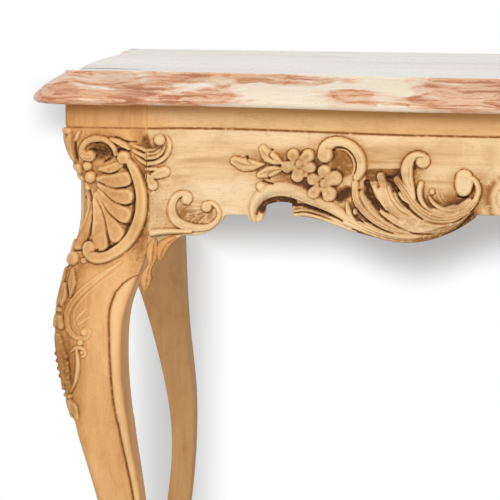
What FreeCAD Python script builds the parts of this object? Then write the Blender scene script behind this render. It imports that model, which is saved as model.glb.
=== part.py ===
import FreeCAD, Part
import math
import os

V = FreeCAD.Vector

# Pier table with a serpentine marble slab on a carved cabriole frame.
# The front faces -Y, the wall side is +Y, and the feet stand on Z = 0.

# Marble slab
top_width = 1170.0
top_depth = 475.0
top_height = 860.0
top_thickness = 35.0
top_bow = 28.0
top_ear_width = 134.0
top_ear_step = 8.0
top_arris_radius = 6.0
top_front_ear_length = 84.0
top_rear_ear_length = 112.0
top_side_step = 13.0
top_side_bulge = 11.0
top_edge_run = 36.0
top_fillet_height = 2.5
top_fillet_run = 1.0
top_nose_height = 6.0
top_nose_round = 5.0
top_edge_power = 0.72
top_edge_shares = [1.0, 0.8, 0.6, 0.42, 0.27, 0.15, 0.06, 0.0]
top_nose_shares = [0.0, 0.33, 0.67, 1.0]
# Half of the front edge, from the ear inwards: place along the half span, part of the bow.
top_bow_shares = [(1.0, 0.0), (0.85, 0.02), (0.73, 0.2), (0.6, 0.5), (0.47, 0.84), (0.34, 0.98), (0.2, 1.0)]

# Frame
side_overhang = 35.0
front_overhang = 35.0
back_overhang = 10.0
band_height = 28.0
band_groove_height = 3.0
band_groove_depth = 2.0

# Front legs
block_size = 94.0
block_round = 9.0
block_bevel = 12.0
leg_overrun = 4.0
# Level as a part of the leg's height, then outer corner, inner edge, lip of the front face
# and rounding of the corner as parts of the block.
front_leg_shares = [
    (1.0, -0.01, 1.05, 0.0, 0.1),
    (0.975, 0.0, 1.05, 0.0, 0.1),
    (0.945, 0.085, 1.05, 0.0, 0.1),
    (0.901, 0.225, 1.05, 0.0, 0.1),
    (0.875, 0.22, 1.05, 0.0, 0.11),
    (0.853, 0.155, 1.05, 0.0, 0.12),
    (0.83, 0.065, 1.0, -0.01, 0.13),
    (0.803, 0.0, 0.93, -0.02, 0.15),
    (0.753, -0.105, 0.76, -0.07, 0.17),
    (0.69, -0.135, 0.69, -0.095, 0.17),
    (0.602, -0.01, 0.715, 0.025, 0.15),
    (0.502, 0.197, 0.815, 0.237, 0.12),
    (0.389, 0.385, 0.905, 0.425, 0.1),
    (0.276, 0.385, 0.865, 0.425, 0.1),
    (0.15, 0.17, 0.76, 0.21, 0.12),
    (0.05, -0.085, 0.7, -0.05, 0.15),
    (0.0, -0.13, 0.66, -0.09, 0.15),
]
leg_back_bevel_share = 0.22
toe_radius = 17.0
toe_width = 40.0

# Back legs
back_block_width = 78.0
back_block_depth = 60.0
back_block_height = 185.0
# Level, outer side, inner side as parts of the block's width, and depth as a part of its depth.
back_leg_shares = [
    (1.0, 0.0, 1.0, 1.0),
    (0.94, 0.06, 0.98, 0.93),
    (0.85, 0.29, 1.01, 0.8),
    (0.75, 0.52, 1.07, 0.7),
    (0.65, 0.7, 1.16, 0.62),
    (0.547, 0.8, 1.18, 0.57),
    (0.442, 0.76, 1.13, 0.54),
    (0.31, 0.6, 1.0, 0.56),
    (0.17, 0.36, 0.85, 0.63),
    (0.06, 0.13, 0.77, 0.73),
    (0.0, 0.08, 0.76, 0.76),
]

# Rails and aprons
rail_height = 66.0
rail_depth = 40.0
front_bow = 20.0
front_bow_shares = [(1.0, 0.0), (0.93, -0.45), (0.84, -0.7), (0.7, -0.4), (0.55, 0.25), (0.4, 0.85), (0.22, 1.0)]
side_rail_setback = 4.0
side_rail_depth = 32.0
side_bow = 10.0
back_rail_height = 90.0
back_rail_thickness = 22.0
back_rail_setback = 2.0
tenon_thickness = 10.0
tenon_length = 30.0
tenon_setback = 16.0
tenon_shoulder = 10.0
mortise_end_gap = 2.0
apron_drop = 109.0
# Lower edge of half the front apron, from the leg to the middle:
# place along the half span and depth below the glue line as a part of the drop.
apron_bracket_shares = [(1.0, 1.0), (0.967, 0.89), (0.909, 0.758)]
apron_scroll_shares = [(0.909, 0.758), (0.84, 0.695), (0.813, 0.559)]
apron_flat_shares = [(0.813, 0.545), (0.756, 0.54)]
apron_hook_shares = [(0.756, 0.54), (0.736, 0.612), (0.719, 0.48)]
apron_arch_shares = [(0.715, 0.44), (0.678, 0.388), (0.645, 0.402)]
apron_belly_shares = [
    (0.643, 0.53), (0.6, 0.53), (0.549, 0.58), (0.475, 0.672), (0.365, 0.745), (0.259, 0.634), (0.198, 0.462),
]
apron_centre_share = 0.44
side_apron_drop = 70.0
side_apron_rise = 30.0

# Applied shell in the middle of the front apron
shell_lobes = 7
shell_turn_share = 0.5
shell_radius = 59.0
shell_hub_radius = 15.0
shell_root_radius = 3.0
shell_hub_share = 0.14

# Hidden bearers, braces and fastenings
bearer_offset = 190.0
bearer_width = 60.0
bearer_thickness = 22.0
bearer_lap = 11.0
brace_thickness = 22.0
brace_height = 34.0
brace_drop = 12.0
bolt_radius = 3.0
bolt_bite = 30.0
bolt_head_radius = 6.0
bolt_head_height = 4.0
screw_radius = 2.0
screw_length = 34.0
screw_head_radius = 4.0
screw_head_height = 3.0
screw_sink = 0.5
dowel_radius = 4.0
dowel_length = 40.0
dowel_end_gap = 1.0
dowel_setback = 29.0
front_dowel_shares = [-0.86, -0.5, -0.16, 0.16, 0.5, 0.86]
side_dowel_shares = [0.25, 0.75]
fit_gap = 0.3
cut_over = 10.0

# Worked-out places
frame_top = top_height - top_thickness
side_x = top_width / 2 - side_overhang
top_front = -top_depth / 2
top_back = top_depth / 2
ear_front = top_front + top_bow - top_ear_step
frame_front = ear_front + front_overhang
frame_back = top_back - back_overhang
glue_line = frame_top - rail_height
groove_level = frame_top - band_height
front_span = side_x - block_size
back_span = side_x - back_block_width
rail_inner = frame_front + rail_depth
side_rail_inner = side_x - side_rail_depth
back_rail_outer = frame_back - back_rail_setback
back_rail_inner = back_rail_outer - back_rail_thickness
side_front = frame_front + block_size
side_back = frame_back - back_block_depth


def box(x0, x1, y0, y1, z0, z1):
    return Part.makeBox(x1 - x0, y1 - y0, z1 - z0, V(x0, y0, z0))


def mirrored(shape):
    return shape.mirror(V(0, 0, 0), V(1, 0, 0))


def line(a, b):
    return Part.LineSegment(a, b).toShape()


def arc(points):
    return Part.Arc(*points).toShape()


def prism(points, z0, z1):
    corners = [V(x, y, z0) for x, y in points]
    wire = Part.makePolygon(corners + corners[:1])
    return Part.Face(wire).extrude(V(0, 0, z1 - z0))


def solid_of(edges, direction):
    wire = Part.Wire(Part.__sortEdges__(edges))
    return Part.Face(wire).extrude(direction)


def serpentine(shares, half_span, end_half_span, bow, y, z):
    """Front curve from left to right: hollow near the ends, straight in the middle."""
    points = [V(-place * half_span, y - part * bow, z) for place, part in shares]
    points[0] = V(-end_half_span, y, z)
    flags = [False] * len(points)
    flags[-1] = True
    curve = Part.BSplineCurve()
    curve.interpolate(Points=points, Tangents=[V(1, 0, 0)] * len(points), TangentFlags=flags)
    left = curve.toShape()
    middle = line(points[-1], V(-points[-1].x, points[-1].y, z))
    return [left, middle, mirrored(left)]


def side_curve(x, y0, y1, bulge, z):
    """Side curve on the left, bulging outwards between two ends."""
    return arc([V(x, y0, z), V(x - bulge, (y0 + y1) / 2, z), V(x, y1, z)])


def top_outline(inset, z):
    """Plan of the slab at one level, drawn in from the nose by the inset."""
    half = top_width / 2 - inset
    ear_y = ear_front + inset
    main_y = top_front + top_bow + inset
    ear_end = top_width / 2 - top_ear_width + inset
    radius = top_arris_radius + top_edge_run - inset
    dip = half - top_side_step
    side_start = ear_front + top_front_ear_length - inset
    side_end = top_back - top_rear_ear_length + inset
    back = top_back + top_edge_run + cut_over - inset
    turn = radius * (1 - math.sqrt(0.5))
    corner = arc([
        V(-half, ear_y + radius, z),
        V(-half + turn, ear_y + turn, z),
        V(-half + radius, ear_y, z),
    ])
    left = [
        line(V(-half, back, z), V(-half, side_end, z)),
        line(V(-half, side_end, z), V(-dip, side_end, z)),
        side_curve(-dip, side_start, side_end, top_side_bulge, z),
        line(V(-dip, side_start, z), V(-half, side_start, z)),
        line(V(-half, side_start, z), V(-half, ear_y + radius, z)),
        corner,
        line(V(-half + radius, ear_y, z), V(-ear_end, ear_y, z)),
        line(V(-ear_end, ear_y, z), V(-ear_end, main_y, z)),
    ]
    nose_span = top_width / 2 - top_ear_width
    front = serpentine(top_bow_shares, nose_span, ear_end, top_bow, main_y, z)
    right = [mirrored(edge) for edge in left]
    rear = line(V(half, back, z), V(-half, back, z))
    return Part.Wire(Part.__sortEdges__(left + front + right + [rear]))


def make_marble_top():
    """Slab with a sloping thumb moulding round the front and sides, cut plain at the wall."""
    levels = [(top_edge_run, top_thickness)]
    run = top_edge_run - top_fillet_run
    rise = top_thickness - top_fillet_height - top_nose_height
    for share in top_edge_shares:
        levels.append((run * share, top_nose_height + rise * share ** top_edge_power))
    for share in top_nose_shares:
        turn = math.pi / 2 * share
        levels.append((top_nose_round * (1 - math.cos(turn)), top_nose_round * (1 - math.sin(turn))))
    wires = [top_outline(inset, frame_top + height) for inset, height in levels]
    slab = Part.makeLoft(wires, True, True)
    room = box(-top_width, top_width, -top_depth, top_back, 0, top_height + cut_over)
    return slab.common(room)


def leg_section(z, corner, inner, lip, rounding):
    """Section of the front left leg, alike on both sides of its diagonal."""
    x0 = -side_x
    y0 = frame_front
    bevel = block_size * leg_back_bevel_share
    turn = rounding * (1 - math.sqrt(0.5))
    nose = arc([
        V(x0 + corner, y0 + corner + rounding, z),
        V(x0 + corner + turn, y0 + corner + turn, z),
        V(x0 + corner + rounding, y0 + corner, z),
    ])
    points = [
        V(x0 + corner + rounding, y0 + corner, z),
        V(x0 + inner, y0 + lip, z),
        V(x0 + inner, y0 + inner - bevel, z),
        V(x0 + inner - bevel, y0 + inner, z),
        V(x0 + lip, y0 + inner, z),
        V(x0 + corner, y0 + corner + rounding, z),
    ]
    sides = [line(a, b) for a, b in zip(points, points[1:])]
    return Part.Wire([nose] + sides)


def front_leg_limit():
    """Upright space of the square block with its inner corner bevelled off."""
    x0 = -side_x - block_size
    y0 = frame_front - block_size
    x1 = -side_x + block_size
    y1 = frame_front + block_size
    plan = [(x0, y0), (x1, y0), (x1, y1 - block_bevel), (x1 - block_bevel, y1), (x0, y1)]
    return prism(plan, 0, frame_top)


def make_front_leg():
    """Cabriole leg: square block, hollow neck, full knee, slim ankle and scrolled toe."""
    size = block_size
    sections = []
    for level, corner, inner, lip, rounding in front_leg_shares:
        z = groove_level * level
        sections.append(leg_section(z, size * corner, size * inner, size * lip, size * rounding))
    leg = Part.makeLoft(sections, True, False)
    block = leg_section(groove_level, 0, size + leg_overrun, 0, block_round)
    leg = leg.fuse(Part.Face(block).extrude(V(0, 0, band_height)))
    toe_corner = size * front_leg_shares[-1][1]
    toe_place = toe_corner + toe_radius * math.sqrt(0.5)
    along = V(1, -1, 0).normalize()
    start = V(-side_x + toe_place, frame_front + toe_place, toe_radius) - along * (toe_width / 2)
    leg = leg.fuse(Part.makeCylinder(toe_radius, toe_width, start, along))
    return leg.common(front_leg_limit()).removeSplitter()


def make_back_leg():
    """Plain back leg, curved in width only and flat towards the wall."""
    foot_top = frame_top - back_block_height
    sections = []
    for level, outer, inner, depth in back_leg_shares:
        z = foot_top * level
        x0 = -side_x + back_block_width * outer
        x1 = -side_x + back_block_width * inner
        y0 = frame_back - back_block_depth * depth
        corners = [V(x0, y0, z), V(x1, y0, z), V(x1, frame_back, z), V(x0, frame_back, z)]
        sections.append(Part.makePolygon(corners + corners[:1]))
    shaft = Part.makeLoft(sections, True, False)
    x1 = -side_x + back_block_width
    plan = [
        (-side_x, side_back),
        (x1 - block_bevel, side_back),
        (x1, side_back + block_bevel),
        (x1, frame_back),
        (-side_x, frame_back),
    ]
    return shaft.fuse(prism(plan, foot_top, frame_top)).removeSplitter()


def tenon_levels(low):
    return low + tenon_shoulder, frame_top - tenon_shoulder


def front_tenon(end_gap):
    """Left tenon of the front rail, or its mortise when given an end gap."""
    z0, z1 = tenon_levels(glue_line)
    y0 = frame_front + tenon_setback
    return box(-front_span - tenon_length - end_gap, -front_span, y0, y0 + tenon_thickness, z0, z1)


def side_tenon(end_gap, at_front):
    z0, z1 = tenon_levels(glue_line)
    x0 = -side_x + side_rail_setback + tenon_thickness
    if at_front:
        return box(x0, x0 + tenon_thickness, side_front - tenon_length - end_gap, side_front, z0, z1)
    return box(x0, x0 + tenon_thickness, side_back, side_back + tenon_length + end_gap, z0, z1)


def back_tenon(end_gap):
    z0, z1 = tenon_levels(frame_top - back_rail_height)
    y0 = back_rail_inner + (back_rail_thickness - tenon_thickness) / 2
    return box(-back_span - tenon_length - end_gap, -back_span, y0, y0 + tenon_thickness, z0, z1)


def front_plan(z, low):
    """Front board between the legs: serpentine face, flat back."""
    curve = serpentine(front_bow_shares, front_span, front_span, front_bow, frame_front, z)
    back = [
        line(V(front_span, frame_front, z), V(front_span, rail_inner, z)),
        line(V(front_span, rail_inner, z), V(-front_span, rail_inner, z)),
        line(V(-front_span, rail_inner, z), V(-front_span, frame_front, z)),
    ]
    return solid_of(curve + back, V(0, 0, low - z))


def bearer_solid(side):
    x = side * bearer_offset
    x0 = x - bearer_width / 2
    y0 = rail_inner - bearer_lap
    y1 = back_rail_inner + bearer_lap
    return box(x0, x0 + bearer_width, y0, y1, frame_top - bearer_thickness, frame_top)


def screw_places():
    y0 = rail_inner - bearer_lap / 2
    y1 = back_rail_inner + bearer_lap / 2
    return [(side * bearer_offset, y) for side in (-1, 1) for y in (y0, y1)]


def screw_solid(x, y, gap):
    head_top = frame_top - screw_sink
    shank = Part.makeCylinder(screw_radius + gap, screw_length, V(x, y, head_top - screw_length))
    head_low = head_top - screw_head_height
    head_height = screw_head_height
    if gap:
        head_height = screw_head_height + screw_sink
    return shank.fuse(Part.makeCylinder(screw_head_radius + gap, head_height, V(x, y, head_low)))


def front_dowel_places():
    return [(share * front_span, frame_front + dowel_setback) for share in front_dowel_shares]


def side_dowel_places():
    x = -side_x + (side_rail_setback + side_rail_depth) / 2
    length = side_back - side_front
    return [(x, side_front + share * length) for share in side_dowel_shares]


def dowel_solid(x, y, gap, end_gap):
    length = dowel_length + 2 * end_gap
    return Part.makeCylinder(dowel_radius + gap, length, V(x, y, glue_line - length / 2))


def drilled(shape, places):
    for x, y in places:
        shape = shape.cut(dowel_solid(x, y, fit_gap, dowel_end_gap))
    return shape


def make_front_rail():
    """Upper front board with the plain band, its groove, tenons and bearer notches."""
    rail = front_plan(frame_top, glue_line)
    groove = front_plan(groove_level + band_groove_height / 2, groove_level - band_groove_height / 2)
    room = groove.copy()
    room.translate(V(0, band_groove_depth, 0))
    rail = rail.cut(groove.cut(room))
    tenon = front_tenon(0)
    rail = rail.fuse([tenon, mirrored(tenon)]).removeSplitter()
    for side in (-1, 1):
        rail = rail.cut(bearer_solid(side))
    for x, y in screw_places():
        rail = rail.cut(screw_solid(x, y, fit_gap))
    return drilled(rail, front_dowel_places())


def apron_point(place, part):
    return V(-place * front_span, frame_front - front_span, glue_line - part * apron_drop)


def apron_edges():
    """Half of the front apron's lower edge, from the leg to the middle."""
    def points(shares):
        return [apron_point(place, part) for place, part in shares]
    bracket = points(apron_bracket_shares)
    scroll = points(apron_scroll_shares)
    flat = points(apron_flat_shares)
    hook = points(apron_hook_shares)
    arch = points(apron_arch_shares)
    belly = points(apron_belly_shares)
    curve = Part.BSplineCurve()
    curve.interpolate(Points=belly)
    end = apron_point(apron_belly_shares[-1][0], apron_centre_share)
    hub = apron_point(0, shell_hub_share)
    start_turn = math.asin((hub.z - end.z) / shell_radius)
    turns = [start_turn, (start_turn + math.pi / 2) / 2, math.pi / 2]
    centre = [hub - V(math.cos(turn), 0, math.sin(turn)) * shell_radius for turn in turns]
    return [
        arc(bracket),
        arc(scroll),
        line(scroll[-1], flat[0]),
        line(flat[0], flat[1]),
        arc(hook),
        line(hook[-1], arch[0]),
        arc(arch),
        line(arch[-1], belly[0]),
        curve.toShape(),
        line(belly[-1], end),
        line(end, centre[0]),
        arc(centre),
    ]


def make_front_apron():
    """Lower front board with the shaped edge, glued and dowelled under the front rail."""
    left = apron_edges()
    start = apron_point(1, 1)
    corner = apron_point(1, 0)
    far = V(-corner.x, corner.y, corner.z)
    right = [mirrored(edge) for edge in left]
    rest = [line(start, corner), line(corner, far), line(far, V(far.x, start.y, start.z))]
    outline = solid_of(left + right + rest, V(0, front_span + block_size, 0))
    board = front_plan(glue_line, glue_line - apron_drop).common(outline)
    return drilled(board, front_dowel_places())


def make_front_shell():
    """Applied scallop: rounded lobes fanning down from a hub, flat behind."""
    face_y = frame_front - front_bow
    hub = V(0, face_y, glue_line - apron_drop * shell_hub_share)
    step = 2 * math.pi * shell_turn_share / shell_lobes
    tip_radius = shell_radius * math.sin(step / 2)
    lobes = [Part.makeSphere(shell_hub_radius, hub)]
    for number in range(shell_lobes):
        turn = step * (number + 0.5) + math.pi * (0.5 - shell_turn_share)
        way = V(math.cos(turn), 0, -math.sin(turn))
        lobes.append(Part.makeCone(shell_root_radius, tip_radius, shell_radius, hub, way))
        lobes.append(Part.makeSphere(tip_radius, hub + way * shell_radius))
    shell = lobes[0].multiFuse(lobes[1:])
    reach = shell_radius + shell_hub_radius + cut_over
    room = box(-reach, reach, face_y - reach, face_y, hub.z - reach, hub.z + reach)
    return shell.common(room)


def side_plan(z, low):
    """Left side board between front and back leg: bowed face, flat inside."""
    x0 = -side_x + side_rail_setback
    x1 = -side_rail_inner
    edges = [
        side_curve(x0, side_front, side_back, side_bow, z),
        line(V(x0, side_back, z), V(x1, side_back, z)),
        line(V(x1, side_back, z), V(x1, side_front, z)),
        line(V(x1, side_front, z), V(x0, side_front, z)),
    ]
    return solid_of(edges, V(0, 0, low - z))


def make_side_rail():
    """Upper side board with its tenons."""
    rail = side_plan(frame_top, glue_line)
    rail = rail.fuse([side_tenon(0, True), side_tenon(0, False)]).removeSplitter()
    return drilled(rail, side_dowel_places())


def make_side_apron():
    """Lower side board with a plain arched edge."""
    x = -side_x - block_size
    low = glue_line - side_apron_drop
    middle = (side_front + side_back) / 2
    edges = [
        arc([V(x, side_front, low), V(x, middle, low + side_apron_rise), V(x, side_back, low)]),
        line(V(x, side_back, low), V(x, side_back, glue_line)),
        line(V(x, side_back, glue_line), V(x, side_front, glue_line)),
        line(V(x, side_front, glue_line), V(x, side_front, low)),
    ]
    outline = solid_of(edges, V(2 * block_size, 0, 0))
    board = side_plan(glue_line, low).common(outline)
    return drilled(board, side_dowel_places())


def make_back_rail():
    """Plain board along the wall with tenons and bearer notches."""
    low = frame_top - back_rail_height
    rail = box(-back_span, back_span, back_rail_inner, back_rail_outer, low, frame_top)
    tenon = back_tenon(0)
    rail = rail.fuse([tenon, mirrored(tenon)]).removeSplitter()
    for side in (-1, 1):
        rail = rail.cut(bearer_solid(side))
    for x, y in screw_places():
        rail = rail.cut(screw_solid(x, y, fit_gap))
    return rail


def make_bearer(side):
    """Cross bar let into front and back rail, flush with the frame's top."""
    bearer = bearer_solid(side)
    for x, y in screw_places():
        bearer = bearer.cut(screw_solid(x, y, fit_gap))
    return bearer


def brace_seat(at_front):
    """Leg corner's place on the diagonal, and the two rail faces, measured from the frame's corner."""
    if at_front:
        return 2 * block_size - block_bevel, rail_depth
    return back_block_width + back_block_depth - block_bevel, frame_back - back_rail_inner


def brace_frame(at_front, u, v, z):
    """Point on the left side, from distances along the front or back and along the side."""
    if at_front:
        return V(-side_x + u, frame_front + v, z)
    return V(-side_x + u, frame_back - v, z)


def bolt_axis(at_front):
    """Point on the leg's bevel and the diagonal direction out of the leg."""
    z = frame_top - brace_drop - brace_height / 2
    if at_front:
        u = block_size - block_bevel / 2
        v = u
    else:
        u = back_block_width - block_bevel / 2
        v = back_block_depth - block_bevel / 2
    seat = brace_frame(at_front, u, v, z)
    way = brace_frame(at_front, u + block_bevel, v + block_bevel, z) - seat
    return seat, way.normalize()


def bolt_solid(at_front, gap):
    seat, way = bolt_axis(at_front)
    start = seat - way * bolt_bite
    shank = Part.makeCylinder(bolt_radius + gap, bolt_bite + brace_thickness, start, way)
    if gap:
        return shank
    head = Part.makeCylinder(bolt_head_radius, bolt_head_height, seat + way * brace_thickness, way)
    return shank.fuse(head)


def make_brace(at_front):
    """Corner brace across two rails, seated on the leg's bevel."""
    seat, rail_face = brace_seat(at_front)
    side_face = side_rail_depth
    outer = seat + brace_thickness * math.sqrt(2)
    z1 = frame_top - brace_drop
    plan = [(seat - rail_face, rail_face), (outer - rail_face, rail_face)]
    plan += [(side_face, outer - side_face), (side_face, seat - side_face)]
    corners = [brace_frame(at_front, u, v, z1) for u, v in plan]
    face = Part.Face(Part.makePolygon(corners + corners[:1]))
    return face.extrude(V(0, 0, -brace_height)).cut(bolt_solid(at_front, fit_gap))


def both_sides(shape):
    return [shape, mirrored(shape)]


def make_front_leg_jointed():
    leg = make_front_leg()
    leg = leg.cut(front_tenon(mortise_end_gap))
    leg = leg.cut(side_tenon(mortise_end_gap, True))
    return leg.cut(bolt_solid(True, fit_gap))


def make_back_leg_jointed():
    leg = make_back_leg()
    leg = leg.cut(back_tenon(mortise_end_gap))
    leg = leg.cut(side_tenon(mortise_end_gap, False))
    return leg.cut(bolt_solid(False, fit_gap))


def make_dowels():
    dowels = [dowel_solid(x, y, 0, 0) for x, y in front_dowel_places()]
    for x, y in side_dowel_places():
        dowels += both_sides(dowel_solid(x, y, 0, 0))
    return Part.makeCompound(dowels)


def make_screws():
    return Part.makeCompound([screw_solid(x, y, 0) for x, y in screw_places()])


def make_bolts():
    return Part.makeCompound(both_sides(bolt_solid(True, 0)) + both_sides(bolt_solid(False, 0)))


def make_pieces():
    pieces = {
        "marble_top": make_marble_top(),
        "front_rail": make_front_rail(),
        "front_apron": make_front_apron(),
        "front_shell": make_front_shell(),
        "back_rail": make_back_rail(),
        "left_bearer": make_bearer(-1),
        "right_bearer": make_bearer(1),
        "apron_dowels": make_dowels(),
        "bearer_screws": make_screws(),
        "brace_bolts": make_bolts(),
    }
    pairs = {
        "front_%s_leg": make_front_leg_jointed(),
        "back_%s_leg": make_back_leg_jointed(),
        "%s_side_rail": make_side_rail(),
        "%s_side_apron": make_side_apron(),
        "front_%s_brace": make_brace(True),
        "back_%s_brace": make_brace(False),
    }
    for name, shape in pairs.items():
        pieces[name % "left"] = shape
        pieces[name % "right"] = mirrored(shape)
    return pieces


os.makedirs("parts", exist_ok=True)
for node, piece in make_pieces().items():
    piece.exportStep("parts/%s.step" % node)
    print(node, len(piece.Solids), piece.isValid(), round(piece.Volume))
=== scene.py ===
"""Carved pier table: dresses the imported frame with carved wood, marble and fastenings."""

import logging
import math
from dataclasses import dataclass, field, replace
from enum import Enum

import bmesh
import bpy
import numpy as np
from mathutils import Matrix, Vector
from mathutils.bvhtree import BVHTree


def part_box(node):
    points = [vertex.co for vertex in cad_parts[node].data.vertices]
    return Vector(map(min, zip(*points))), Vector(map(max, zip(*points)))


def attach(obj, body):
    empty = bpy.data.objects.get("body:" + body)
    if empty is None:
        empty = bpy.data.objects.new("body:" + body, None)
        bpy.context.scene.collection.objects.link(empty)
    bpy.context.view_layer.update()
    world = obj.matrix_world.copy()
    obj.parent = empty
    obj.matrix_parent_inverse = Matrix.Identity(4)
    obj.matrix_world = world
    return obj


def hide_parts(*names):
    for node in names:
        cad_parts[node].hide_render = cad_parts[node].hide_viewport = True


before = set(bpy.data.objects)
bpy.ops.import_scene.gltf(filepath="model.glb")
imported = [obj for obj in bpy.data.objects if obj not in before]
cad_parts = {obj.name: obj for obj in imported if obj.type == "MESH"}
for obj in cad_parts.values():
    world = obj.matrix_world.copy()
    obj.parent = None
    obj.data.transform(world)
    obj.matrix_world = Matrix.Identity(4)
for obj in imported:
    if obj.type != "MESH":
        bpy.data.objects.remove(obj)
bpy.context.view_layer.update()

LOG = logging.getLogger("pier_table")
MM = 0.001
SEED = 7
PICTURE_STEP = 0.4

Pair = tuple[float, float]
Points = tuple[Pair, ...]
Triple = tuple[float, float, float]
Colour = tuple[float, float, float, float]
Array = np.ndarray
Item = bpy.types.Object
Material = bpy.types.Material
Mesh = bpy.types.Mesh
Socket = bpy.types.NodeSocket


class Grain(Enum):
    """Direction in which the fibres of a board run."""

    ALONG_X = 0
    ALONG_Y = 1
    ALONG_Z = 2


class Section(Enum):
    """Cross-section of one stroke of the carving."""

    ROUND = "round"
    FLAT = "flat"
    HOLLOW = "hollow"
    RIDGED = "ridged"
    LINED = "lined"
    LEAF = "leaf"
    SUNK = "sunk"
    BED = "bed"


# How square the floor of a cut is.
CUT_POWERS = {Section.SUNK: 2, Section.BED: 8}


class Body(Enum):
    """Moving bodies of the frame."""

    FRAME = "frame"
    SLAB = "slab"


class Slot(Enum):
    """Material slots."""

    MARBLE = "marble"
    CARVED = "carved_wood"
    INNER = "inner_wood"
    STEEL = "steel"


# Camera of the photograph


@dataclass(frozen=True)
class PhotoView:
    """Camera of the photograph, in metres and degrees, for a square picture."""

    place: Triple = (-0.08587, -2.33413, 1.01633)
    turn_left: float = 6.73
    tilt_down: float = 9.25
    roll: float = 0.43
    focal: float = 1968.0
    picture: float = 500.0
    sensor: float = 36.0

    def axes(self) -> Array:
        """Directions of the view.

        Returns:
            Rows with the right, up and forward directions.
        """
        turn, tilt, roll = (math.radians(a) for a in (self.turn_left, self.tilt_down, self.roll))
        forward = np.array((
            -math.sin(turn) * math.cos(tilt), math.cos(turn) * math.cos(tilt), -math.sin(tilt)))
        right = np.array((math.cos(turn), math.sin(turn), 0.0))
        up = np.cross(right, forward)
        rolled = math.cos(roll) * right + math.sin(roll) * up
        upright = math.cos(roll) * up - math.sin(roll) * right
        return np.array((rolled, upright, forward))

    def pixels(self, points: Array) -> Array:
        """Places of points in the picture.

        Args:
            points: Array of points in metres, with three columns at the end.

        Returns:
            Array of the same form with two columns, across and down, in pixels.
        """
        local = (points - np.array(self.place)) @ self.axes().T
        half = self.picture / 2
        across = half + self.focal * local[..., 0] / local[..., 2]
        down = half - self.focal * local[..., 1] / local[..., 2]
        return np.stack((across, down), axis=-1)

    def make_camera(self) -> Item:
        """Adds the camera to the scene.

        Returns:
            The camera object.
        """
        right, up, forward = self.axes()
        data = bpy.data.cameras.new("photo_camera")
        data.sensor_width = self.sensor
        data.lens = self.focal * self.sensor / self.picture
        data.clip_start = 0.05
        camera = bpy.data.objects.new("photo_camera", data)
        turned = Matrix((right, up, -forward)).transposed().to_4x4()
        camera.matrix_world = Matrix.Translation(self.place) @ turned
        bpy.context.scene.collection.objects.link(camera)
        bpy.context.scene.camera = camera
        return camera


VIEW = PhotoView()


# Materials


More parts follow.
